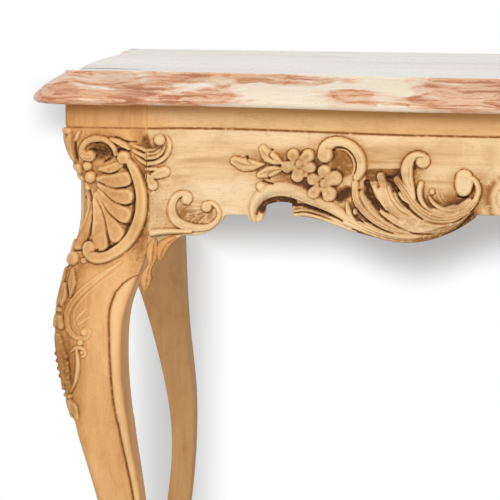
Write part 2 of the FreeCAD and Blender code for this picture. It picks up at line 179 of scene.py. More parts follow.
class Shader:
    """Builder for one node material."""

    def __init__(self, name: str) -> None:
        """Starts an empty material.

        Args:
            name: Name of the material.
        """
        self.material = bpy.data.materials.new(name)
        self.material.use_nodes = True
        self.tree = self.material.node_tree
        self.tree.nodes.clear()

    def node(self, kind: str, inputs: dict | None = None, **settings: object) -> bpy.types.Node:
        """Adds a node.

        Args:
            kind: Node type.
            inputs: Values or sockets for the node's inputs, by name or place.
            settings: Properties of the node.

        Returns:
            The node.
        """
        made = self.tree.nodes.new(kind)
        for key, value in settings.items():
            setattr(made, key, value)
        for key, value in (inputs or {}).items():
            if isinstance(value, Socket):
                self.tree.links.new(value, made.inputs[key])
            else:
                made.inputs[key].default_value = value
        return made

    def places(self, scale: Triple = (1, 1, 1)) -> Socket:
        """Object coordinates, stretched."""
        coord = self.node("ShaderNodeTexCoord").outputs["Object"]
        return self.node("ShaderNodeMapping", {"Vector": coord, "Scale": scale}).outputs["Vector"]

    def split(self, vector: Socket, axis: str) -> Socket:
        """One coordinate of a vector."""
        return self.node("ShaderNodeSeparateXYZ", {0: vector}).outputs[axis]

    def noise(self, vector: Socket, detail: float, rough: float, warp: float = 0.0) -> Socket:
        """Noise value."""
        return self.node("ShaderNodeTexNoise", {
            "Vector": vector, "Scale": 1.0, "Detail": detail, "Roughness": rough,
            "Distortion": warp}).outputs[0]

    def ramp(self, factor: Socket, stops: tuple[tuple[float, Colour], ...]) -> Socket:
        """Colour ramp.

        Args:
            factor: Value read.
            stops: Place and colour of each stop.

        Returns:
            Colour socket.
        """
        made = self.node("ShaderNodeValToRGB", {"Fac": factor})
        elements = made.color_ramp.elements
        while len(elements) < len(stops):
            elements.new(0.5)
        for element, (place, colour) in zip(elements, stops):
            element.position = place
            element.color = colour
        return made.outputs["Color"]

    def level(self, factor: Socket, low: float, high: float) -> Socket:
        """Value spread smoothly from 0 at low to 1 at high."""
        made = self.node("ShaderNodeMapRange", {
            "Value": factor, "From Min": low, "From Max": high}, interpolation_type="SMOOTHSTEP")
        return made.outputs["Result"]

    def mix(self, factor: object, first: object, second: object) -> Socket:
        """Mix of two colours."""
        return self.node("ShaderNodeMix", {0: factor, 6: first, 7: second}, data_type="RGBA").outputs[2]

    def tint(self, colour: object, tone: object, factor: Socket, share: float) -> Socket:
        """Colour drawn towards a tone."""
        return self.mix(self.times(factor, share), colour, tone)

    def calc(self, operation: str, first: object, second: object = 0.0, third: object = 0.0) -> Socket:
        """Sum on up to three values."""
        return self.node("ShaderNodeMath", {0: first, 1: second, 2: third}, operation=operation).outputs[0]

    def times(self, first: object, second: object) -> Socket:
        """Product of two values."""
        return self.calc("MULTIPLY", first, second)

    def vector(self, operation: str, first: object, second: object) -> Socket:
        """Sum on two vectors."""
        return self.node("ShaderNodeVectorMath", {0: first, 1: second}, operation=operation).outputs[0]

    def away(self, vector: Socket, middle: Triple, sizes: Triple) -> Socket:
        """Distance from a point, counted in half sizes."""
        mapping = self.node("ShaderNodeMapping", {
            "Vector": vector, "Location": tuple(-m / s for m, s in zip(middle, sizes)),
            "Scale": tuple(1 / s for s in sizes)})
        return self.length(mapping.outputs[0])

    def length(self, vector: Socket) -> Socket:
        """Length of a vector."""
        return self.node("ShaderNodeVectorMath", {0: vector}, operation="LENGTH").outputs["Value"]

    def attribute(self, name: str) -> Socket:
        """Value of a mesh attribute."""
        return self.node("ShaderNodeAttribute", attribute_name=name).outputs["Fac"]

    def bump(self, height: Socket, strength: float, distance: float) -> Socket:
        """Bumped normal."""
        return self.node("ShaderNodeBump", {
            "Height": height, "Strength": strength, "Distance": distance}).outputs["Normal"]

    def finish(self, inputs: dict) -> Material:
        """Closes the material with a principled surface."""
        return self.show(self.node("ShaderNodeBsdfPrincipled", inputs))

    def show(self, surface: bpy.types.Node) -> Material:
        """Closes the material with any surface."""
        self.node("ShaderNodeOutputMaterial", {"Surface": surface.outputs[0]})
        return self.material


@dataclass(frozen=True)
class WoodFinish:
    """Waxed or sawn wood with fibres, patina, stain and painted shade in the hollows, pale worn edges with
    painted highlights, and a painted shadow under the marble.

    The front band, if there is one, has its own middle and light tone. Levels are heights in metres.
    """

    name: str
    grain: Grain
    light: Colour = (0.860, 0.500, 0.220, 1)
    middle: Colour = (0.760, 0.400, 0.155, 1)
    dark: Colour = (0.520, 0.240, 0.080, 1)
    # The wax tone serves the patina and grit, and also paints shade in the hollows and under the marble; the
    # near-black tone paints the darkest hollows, stain and shade together.
    wax_and_shade: Colour = (0.460, 0.202, 0.058, 1)
    stain_and_shade: Colour = (0.105, 0.046, 0.020, 1)
    # Pale tone of worn edges and of the painted highlights on the crests.
    pale: Colour = (0.960, 0.680, 0.350, 1)
    roughness: float = 0.50
    sheen: float = 0.03
    band: tuple[Colour, Colour] | None = None
    band_levels: Pair = (0.796, 0.798)
    # Heights over which the painted shadow of the marble darkens the wood below it.
    shade_levels: Pair = (0.809, 0.8235)
    fibre_share: float = 0.26
    patina_share: float = 0.24
    grit_share: float = 0.30
    wear_highlight_share: float = 0.65
    shade_share: float = 0.70

    def along(self, shader: Shader, length: float, width: float) -> Socket:
        """Coordinates drawn out along the fibres.

        Args:
            shader: Material that is built.
            length: Repeats to the metre along the fibres.
            width: Repeats to the metre across them.

        Returns:
            Vector socket.
        """
        scale = [width, width, width]
        scale[self.grain.value] = length
        return shader.places(tuple(scale))

    def toned(self, shader: Shader, tone: Socket, middle: Colour, light: Colour) -> Socket:
        """Wood colour from its figure."""
        return shader.ramp(tone, ((0.52, self.dark), (0.72, middle), (0.95, light)))

    def build(self) -> Material:
        """Makes the material.

        Returns:
            The material.
        """
        shader = Shader(self.name)
        broad = shader.noise(self.along(shader, 1.6, 13.0), 3.0, 0.55, 0.6)
        figure = shader.noise(self.along(shader, 5.0, 80.0), 5.0, 0.6, 0.8)
        fibre = shader.noise(self.along(shader, 22.0, 700.0), 3.0, 0.6)
        patina = shader.noise(shader.places((28, 28, 28)), 6.0, 0.7, 0.5)
        grit = shader.noise(self.along(shader, 130.0, 520.0), 4.0, 0.7)
        blot = shader.noise(shader.places((190, 190, 190)), 5.0, 0.65)
        height = shader.split(shader.places(), "Z")
        tone = shader.calc("MULTIPLY_ADD", figure, 0.55, broad)
        colour = self.toned(shader, tone, self.middle, self.light)
        if self.band is not None:
            banded = self.toned(shader, tone, *self.band)
            colour = shader.mix(shader.level(height, *self.band_levels), colour, banded)
        colour = shader.tint(colour, self.dark, shader.level(fibre, 0.52, 0.72), self.fibre_share)
        colour = shader.tint(colour, self.wax_and_shade, shader.level(patina, 0.48, 0.72), self.patina_share)
        colour = shader.tint(colour, self.wax_and_shade, shader.level(grit, 0.54, 0.74), self.grit_share)
        # Hollows darken: stain, and painted shade where shade falls into them.
        recess = shader.attribute("recess")
        stain_and_shade_mask = shader.times(recess, shader.level(blot, 0.12, 0.58))
        colour = shader.mix(shader.level(stain_and_shade_mask, 0.0, 0.55), colour, self.wax_and_shade)
        colour = shader.mix(shader.level(stain_and_shade_mask, 0.25, 1.0), colour, self.stain_and_shade)
        # Crests lighten: wear, and a painted highlight where light catches them.
        wear_highlight_mask = shader.times(shader.attribute("worn"), shader.level(recess, 0.65, 0.0))
        colour = shader.tint(colour, self.pale, wear_highlight_mask, self.wear_highlight_share)
        # Painted shadow of the marble on the top of the rail and the leg blocks.
        colour = shader.tint(colour, self.wax_and_shade, shader.level(height, *self.shade_levels), self.shade_share)
        return shader.finish({
            "Base Color": colour,
            "Roughness": shader.calc("MULTIPLY_ADD", fibre, 0.16, self.roughness - 0.08),
            "Specular IOR Level": self.sheen,
            "Normal": shader.bump(fibre, 0.16, 0.0006),
        })


@dataclass(frozen=True)
class MarbleFinish:
    """Polished breccia: ivory ground with terracotta clouds, paler and greyer on the flat top, where a
    painted sheen of the surroundings lies over faint bands of the stone.

    Each cloud has its middle across, along the depth and up, its half sizes in metres, and its strength.
    Each dark line of the top has its middle and half sizes in plan, and its strength. The first is a painted
    shadow line along the front ear; the second darkens the back left corner.
    """

    name: str = "breccia_marble"
    ivory: Colour = (0.840, 0.715, 0.555, 1)
    cream: Colour = (0.790, 0.600, 0.430, 1)
    terracotta: Colour = (0.660, 0.285, 0.125, 1)
    rust: Colour = (0.390, 0.140, 0.060, 1)
    stone_and_sheen_grey: Colour = (0.745, 0.678, 0.585, 1)
    white: Colour = (0.875, 0.825, 0.745, 1)
    slate: Colour = (0.200, 0.165, 0.140, 1)
    warp_scale: float = 26.0
    warp: Triple = (0.06, 0.04, 0.009)
    tilt: Triple = (0.0, 0.16, 0.2)
    gloss: float = 0.4
    top_lines: tuple[tuple[float, ...], ...] = (
        (-0.505, -0.143, 0.052, 0.006, 0.95), (-0.56, 0.222, 0.028, 0.02, 0.6))
    # The cloud at -0.3 just under the arris also paints the shadow line along the arris.
    clouds: tuple[tuple[float, ...], ...] = (
        (-0.5, -0.2, 0.84, 0.12, 0.12, 0.028, 0.2), (-0.553, -0.21, 0.836, 0.026, 0.08, 0.008, 0.14),
        (-0.53, -0.215, 0.848, 0.03, 0.05, 0.004, 0.16), (-0.476, -0.21, 0.846, 0.032, 0.06, 0.008, 0.2),
        (-0.441, -0.21, 0.839, 0.03, 0.06, 0.004, 0.2), (-0.39, -0.215, 0.835, 0.06, 0.06, 0.006, 0.2),
        (-0.415, -0.205, 0.855, 0.03, 0.05, 0.005, 0.16), (-0.3, -0.205, 0.855, 0.07, 0.06, 0.005, 0.34),
        (-0.224, -0.215, 0.841, 0.04, 0.06, 0.006, 0.26), (-0.221, -0.205, 0.855, 0.024, 0.05, 0.003, 0.18),
        (-0.07, -0.215, 0.848, 0.075, 0.08, 0.017, 0.42), (-0.125, -0.22, 0.836, 0.055, 0.06, 0.01, 0.36),
        (0.045, -0.215, 0.853, 0.06, 0.06, 0.005, 0.24), (0.15, -0.22, 0.838, 0.07, 0.06, 0.009, 0.22),
        (0.25, -0.21, 0.854, 0.05, 0.06, 0.004, 0.24), (0.335, -0.21, 0.845, 0.06, 0.06, 0.012, 0.24),
        (0.43, -0.215, 0.835, 0.05, 0.06, 0.006, 0.2), (0.53, -0.2, 0.842, 0.07, 0.12, 0.016, 0.22),
        (-0.5, -0.21, 0.829, 0.12, 0.08, 0.008, 0.2), (-0.57, 0.02, 0.84, 0.06, 0.09, 0.014, 0.2),
        (0.57, 0.08, 0.842, 0.06, 0.1, 0.012, 0.2))

    def stretched(self, shader: Shader, vector: Socket, scale: Triple) -> Socket:
        """Coordinates drawn out along the bedding of the stone."""
        return shader.node(
            "ShaderNodeMapping", {"Vector": vector, "Scale": scale, "Rotation": self.tilt}).outputs[0]

    def edge(self, shader: Shader, moved: Socket, fine: Socket, broad: Socket) -> Socket:
        """Colour of the moulded edge.

        Args:
            shader: Material that is built.
            moved: Warped coordinates.
            fine: Fine noise.
            broad: Broad noise.

        Returns:
            Colour socket.
        """
        streak = shader.noise(self.stretched(shader, moved, (18.0, 40.0, 200.0)), 5.0, 0.62, 0.6)
        total = shader.times(shader.calc("SUBTRACT", broad, 0.5), 0.3)
        for x, y, z, wide, deep, high, strength in self.clouds:
            away = shader.away(moved, (x, y, z), (wide, deep, high))
            total = shader.calc("ADD", total, shader.times(shader.level(away, 1.5, 0.2), strength))
        mottle = shader.calc("ADD", shader.times(streak, 0.35), shader.times(fine, 0.75))
        mottle = shader.calc("ADD", mottle, total)
        colour = shader.mix(shader.level(broad, 0.40, 0.62), self.ivory, self.cream)
        ragged = shader.calc("MULTIPLY_ADD", shader.level(streak, 0.42, 0.58), 0.4, 0.6)
        colour = shader.mix(shader.times(shader.level(mottle, 0.54, 0.76), ragged), colour, self.terracotta)
        veined = shader.times(shader.level(mottle, 0.58, 0.88), shader.level(streak, 0.46, 0.62))
        colour = shader.tint(colour, self.rust, veined, 0.95)
        return shader.tint(colour, self.white, shader.level(streak, 0.42, 0.30), 0.7)

    def flat(self, shader: Shader, moved: Socket) -> Socket:
        """Colour of the flat top: faint bands of the stone under a painted sheen of the pale surroundings.

        Args:
            shader: Material that is built.
            moved: Warped coordinates.

        Returns:
            Colour socket.
        """
        bands = shader.noise(self.stretched(shader, moved, (2.2, 15.0, 2.0)), 4.0, 0.55, 0.5)
        colour = shader.mix(shader.level(bands, 0.34, 0.64), self.stone_and_sheen_grey, self.white)
        return shader.tint(colour, self.terracotta, shader.level(bands, 0.58, 0.74), 0.22)

    def build(self) -> Material:
        """Makes the material.

        Returns:
            The material.
        """
        shader = Shader(self.name)
        plain = shader.places()
        cloud = shader.node("ShaderNodeTexNoise", {"Vector": plain, "Scale": self.warp_scale, "Detail": 4.0})
        pushed = shader.vector(
            "MULTIPLY", shader.vector("SUBTRACT", cloud.outputs["Color"], (0.5, 0.5, 0.5)), self.warp)
        moved = shader.vector("ADD", plain, pushed)
        fine = shader.noise(self.stretched(shader, moved, (13.0, 26.0, 80.0)), 6.0, 0.60, 0.5)
        broad = shader.noise(self.stretched(shader, moved, (7.0, 10.0, 34.0)), 4.0, 0.5, 0.3)
        normal = shader.node("ShaderNodeNewGeometry").outputs["Normal"]
        # The flat top takes its own paler, greyer colour: painted sheen over the stone.
        upward = shader.level(shader.split(normal, "Z"), 0.96, 0.999)
        colour = shader.tint(self.edge(shader, moved, fine, broad), self.flat(shader, moved), upward, 0.94)
        vein = shader.level(shader.calc("ABSOLUTE", shader.calc("SUBTRACT", fine, 0.47)), 0.010, 0.0)
        vein = shader.times(vein, shader.calc("SUBTRACT", 1.0, upward))
        colour = shader.tint(colour, self.rust, vein, 0.2)
        wavy = shader.vector("ADD", plain, shader.vector("MULTIPLY", pushed, (0.3, 0.3, 0.0)))
        dull = 0.0
        # Dark lines on the top: the first is a painted shadow along the edge of the front ear.
        for x, y, wide, deep, strength in self.top_lines:
            away = shader.away(wavy, (x, y, 0.0), (wide, deep, math.inf))
            line = shader.times(shader.times(shader.level(away, 1.0, 0.5), upward), strength)
            colour = shader.mix(line, colour, self.slate)
            dull = shader.calc("ADD", dull, line)
        return shader.finish({
            "Base Color": colour,
            "Roughness": shader.calc("MULTIPLY_ADD", fine, 0.12, 0.22),
            "Specular IOR Level": shader.times(shader.level(dull, 0.85, 0.0), self.gloss),
            "Normal": shader.bump(broad, 0.03, 0.0004),
        })


@dataclass(frozen=True)
class SteelFinish:
    """Plain bright steel of the screws and bolts."""

    name: str = "screw_steel"
    tone: Colour = (0.52, 0.50, 0.47, 1)
    dark: Colour = (0.20, 0.17, 0.14, 1)

    def build(self) -> Material:
        """Makes the material.

        Returns:
            The material.
        """
        shader = Shader(self.name)
        scratch = shader.noise(shader.places((900, 900, 240)), 4.0, 0.6)
        return shader.finish({
            "Base Color": shader.tint(self.tone, self.dark, scratch, 0.4),
            "Metallic": 1.0,
            "Roughness": 0.34,
            "Normal": shader.bump(scratch, 0.1, 0.0002),
        })


class Finishes:
    """All finishes of the table, built once."""

    def __init__(self) -> None:
        """Builds the materials."""
        self.leg = WoodFinish("carved_wood_upright", Grain.ALONG_Z).build()
        self.front = WoodFinish(
            "carved_wood_front", Grain.ALONG_X, (0.930, 0.725, 0.460, 1), (0.838, 0.582, 0.322, 1),
            (0.560, 0.290, 0.110, 1), band=((0.815, 0.470, 0.200, 1), (0.910, 0.590, 0.285, 1))).build()
        # The back legs take a darker copy of the wood: painted shade.
        self.back = WoodFinish(
            "carved_wood_back", Grain.ALONG_Z, (0.775, 0.450, 0.200, 1), (0.670, 0.352, 0.136, 1),
            (0.460, 0.208, 0.070, 1)).build()
        self.side = WoodFinish("carved_wood_side", Grain.ALONG_Y).build()
        sawn = WoodFinish(
            "sawn_wood_long", Grain.ALONG_X, (0.66, 0.42, 0.22, 1), (0.56, 0.33, 0.155, 1),
            (0.42, 0.23, 0.10, 1), roughness=0.74)
        self.sawn_long = sawn.build()
        self.sawn_deep = replace(sawn, name="sawn_wood_deep", grain=Grain.ALONG_Y).build()
        self.marble = MarbleFinish().build()
        self.steel = SteelFinish().build()


# Carving


@dataclass(frozen=True)
class Stroke:
    """One stroke of the carving, drawn along a path in picture pixels, with its height in millimetres."""

    path: Points
    widths: tuple[float, ...]
    height: float
    section: Section = Section.ROUND
    moat: float = 0.9


def dome(x: float, y: float, radius: float, height: float, tall: float = 0.0, lean: float = 0.0,
         section: Section = Section.ROUND, moat: float = 0.9) -> Stroke:
    """Round or oval boss."""
    return Stroke(((x - lean, y - tall), (x + lean, y + tall + 0.01)), (radius,), height, section, moat)


def cut(height: float, widths: tuple[float, ...], *path: Pair) -> Stroke:
    """Groove, or a raised line where the height is above zero, added to what is there."""
    return Stroke(path, widths, height, Section.SUNK)


def smooth_path(points: Points, step: float = PICTURE_STEP) -> tuple[Array, Array]:
    """Even samples on a smooth curve through points.

    Args:
        points: Points of the curve.
        step: Spacing of the samples.

    Returns:
        Samples, and the share of the length at each.
    """
    knots = np.array(points, float)
    spans = np.maximum(np.linalg.norm(np.diff(knots, axis=0), axis=1), 1e-6) ** 0.5
    times = np.concatenate(((0.0,), np.cumsum(spans)))
    fine = np.linspace(0.0, times[-1], 24 * len(knots))
    if len(knots) > 2:
        slopes = np.gradient(knots, times, axis=0)
        index = np.clip(np.searchsorted(times, fine, "right") - 1, 0, len(knots) - 2)
        width = times[index + 1] - times[index]
        t = ((fine - times[index]) / width)[:, None]
        h = width[:, None]
        curve = ((1 + 2 * t) * (1 - t) ** 2 * knots[index] + t * (1 - t) ** 2 * h * slopes[index]
                 + t * t * (3 - 2 * t) * knots[index + 1] + t * t * (t - 1) * h * slopes[index + 1])
    else:
        curve = knots[0] + (knots[1] - knots[0]) * (fine / times[-1])[:, None]
    lengths = np.concatenate(((0.0,), np.cumsum(np.linalg.norm(np.diff(curve, axis=0), axis=1))))
    count = max(3, int(lengths[-1] / step) + 1)
    even = np.linspace(0.0, lengths[-1], count)
    samples = np.stack([np.interp(even, lengths, curve[:, k]) for k in (0, 1)], axis=1)
    return samples, even / max(lengths[-1], 1e-9)


def section_height(section: Section, across: Array) -> Array:
    """Height of a cross-section.

    Args:
        section: Kind of section.
        across: Place across the stroke, from -1 to 1.

    Returns:
        Heights from 0 to about 1.
    """
    inside = np.clip(1 - across * across, 0, 1)
    if section is Section.FLAT:
        return np.clip(1 - across ** 6, 0, 1) ** 0.5 * (0.86 + 0.14 * inside)
    if section is Section.HOLLOW:
        return np.clip(1 - across ** 8, 0, 1) ** 0.5 * (1 - 0.42 * inside ** 1.5)
    if section is Section.RIDGED:
        return inside ** 0.5 * (0.70 + 0.30 * np.cos(1.5 * np.pi * across) ** 2)
    if section is Section.LINED:
        return inside ** 0.5 * (0.75 + 0.25 * np.cos(3.2 * np.pi * across))
    if section is Section.LEAF:
        rib = 0.34 * np.exp(-(across / 0.18) ** 2)
        return np.clip(1 - across ** 4, 0, 1) ** 0.5 * (0.96 - rib - 0.12 * np.abs(across))
    return inside ** 0.5


@dataclass
class ReliefField:
    """Carving drawn as heights over the picture, in millimetres.

    Blurs are in pixels. Each kind of hollow has the blur it is measured against, the depth it starts at,
    the depth over which it fills, and its weight. The deep hollows have the last three. The hollows are
    darkened with stain and painted shade, and the crests lightened as worn edges with painted highlights.
    """

    left: float = 44.0
    top: float = 118.0
    right: float = 524.0
    bottom: float = 428.0
    density: int = 3
    moat_reach: float = 0.95
    depth: float = 1.2
    tool_blur: float = 0.35
    wash_blur: float = 2.0
    wear_highlight_blur: float = 1.7
    cover_blur: float = 6.0
    cover_gain: float = 1.5
    cover_most: float = 4.0
    hollows: tuple[tuple[float, float, float, float], ...] = (
        (9.0, 0.25, 4.4, 0.7), (2.0, 0.3, 3.2, 0.34), (0.9, 0.06, 0.8, 0.12))
    deep: Triple = (1.8, 4.2, 0.7)

    def __post_init__(self) -> None:
        """Starts with a plain surface."""
        self.columns = int((self.right - self.left) * self.density) + 1
        self.rows = int((self.bottom - self.top) * self.density) + 1
        self.height = np.zeros((self.rows, self.columns))

    def lay(self, stroke: Stroke) -> None:
        """Carves one stroke over what is there.

        Args:
            stroke: The stroke.
        """
        path, share = smooth_path(stroke.path)
        places = np.linspace(0, 1, len(stroke.widths)) if len(stroke.widths) > 1 else np.zeros(1)
        widths = np.interp(share, places, stroke.widths)
        margin = widths.max() + 3 * self.moat_reach
        low = np.floor((path.min(0) - margin - (self.left, self.top)) * self.density).astype(int)
        high = np.ceil((path.max(0) + margin - (self.left, self.top)) * self.density).astype(int)
        c0, r0 = np.clip(low, 0, (self.columns, self.rows))
        c1, r1 = np.clip(high, 0, (self.columns, self.rows))
        tangent = np.gradient(path, axis=0)
        across_line = self.left + np.arange(c0, c1) / self.density
        for row in range(r0, r1):
            delta = np.stack((
                across_line[:, None] - path[None, :, 0],
                np.full((len(across_line), len(path)), self.top + row / self.density) - path[None, :, 1]), -1)
            squared = (delta ** 2).sum(-1)
            near = squared.argmin(1)
            picked = np.arange(len(near))
            distance = np.sqrt(squared[picked, near])
            offset = delta[picked, near]
            side = np.sign(tangent[near, 0] * offset[:, 1] - tangent[near, 1] * offset[:, 0])
            width = np.maximum(widths[near], 1e-3)
            across = distance / width
            line = self.height[row, c0:c1]
            inside = across < 1
            if stroke.section in CUT_POWERS:
                floor = np.clip(1 - across ** CUT_POWERS[stroke.section], 0, 1)
                line += np.where(inside, stroke.height * floor, 0.0)
                continue
            shape = section_height(stroke.section, side * across)
            gap = np.clip(distance - width, 0, None) / self.moat_reach
            line -= np.where(inside, 0.0, stroke.moat * np.exp(-gap * gap))
            np.maximum(line, np.where(inside, stroke.height * shape, -np.inf), out=line)

    def blurred(self, spread: float) -> Array:
        """Heights after a soft blur.

        Args:
            spread: Width of the blur in pixels.

        Returns:
            Blurred heights.
        """
        sigma = spread * self.density
        pad = int(3 * sigma)
        padded = np.pad(self.height, pad, mode="edge")
        down = np.fft.fftfreq(padded.shape[0])[:, None]
        across = np.fft.rfftfreq(padded.shape[1])[None, :]
        filtered = np.fft.rfft2(padded) * np.exp(-2 * (np.pi * sigma) ** 2 * (down ** 2 + across ** 2))
        return np.fft.irfft2(filtered, padded.shape)[pad:-pad, pad:-pad]

    def close(self, washes: list[Stroke]) -> None:
        """Softens the tool marks and works out the hollows, darkened with stain and painted shade, and the
        worn edges with their painted highlights.

        Args:
            washes: Places painted darker than their depth alone makes them, for patina and for shade.
        """
        self.height = self.depth * self.blurred(self.tool_blur)
        wash = replace(self)
        for stroke in washes:
            wash.lay(replace(stroke, section=Section.SUNK))
        dark = np.zeros_like(self.height)
        for spread, start, full, weight in self.hollows:
            dark += weight * np.clip((self.blurred(spread) - self.height - start) / full, 0, 1)
        start, full, weight = self.deep
        dark += weight * np.clip((-self.height - start) / full, 0, 1)
        # Recess layer: stain and painted shade in the hollows.
        self.recess = np.clip(dark + wash.blurred(self.wash_blur), 0, 1)
        self.cover = np.clip(self.cover_gain * self.blurred(self.cover_blur) / self.depth, 0, self.cover_most)
        # Crests above their surroundings: worn edges and painted highlights.
        self.worn = np.clip(self.height - self.blurred(self.wear_highlight_blur), 0, 1)

    def read(self, layer: Array, pixels: Array) -> Array:
        """Values of a layer at places in the picture.

        Args:
            layer: Height, recess, or wear and highlight layer.
            pixels: Places across and down.

        Returns:
            Values, zero outside the field.
        """
        across = (pixels[..., 0] - self.left) * self.density
        down = (pixels[..., 1] - self.top) * self.density
        out = (across < 0) | (down < 0) | (across > self.columns - 1) | (down > self.rows - 1)
        across = np.clip(across, 0, self.columns - 1.001)
        down = np.clip(down, 0, self.rows - 1.001)
        c, r = across.astype(int), down.astype(int)
        a, d = across - c, down - r
        value = (layer[r, c] * (1 - a) * (1 - d) + layer[r, c + 1] * a * (1 - d)
                 + layer[r + 1, c] * (1 - a) * d + layer[r + 1, c + 1] * a * d)
        return np.where(out, 0.0, value)


def stipple(low: Pair, high: Pair, count: int, depth: float) -> list[Stroke]:
    """Punched dots on a ground.

    Args:
        low: Upper left corner of the ground in pixels.
        high: Lower right corner.
        count: Number of dots.
        depth: Depth of a dot in millimetres.

    Returns:
        Strokes of the dots.
    """
    chance = np.random.RandomState(SEED)
    places = np.array(low) + chance.rand(count, 2) * (np.array(high) - np.array(low))
    sizes = 0.7 + 0.6 * chance.rand(count)
    return [dome(x, y, size, -depth, section=Section.SUNK)
            for (x, y), size in zip(places.tolist(), sizes.tolist())]


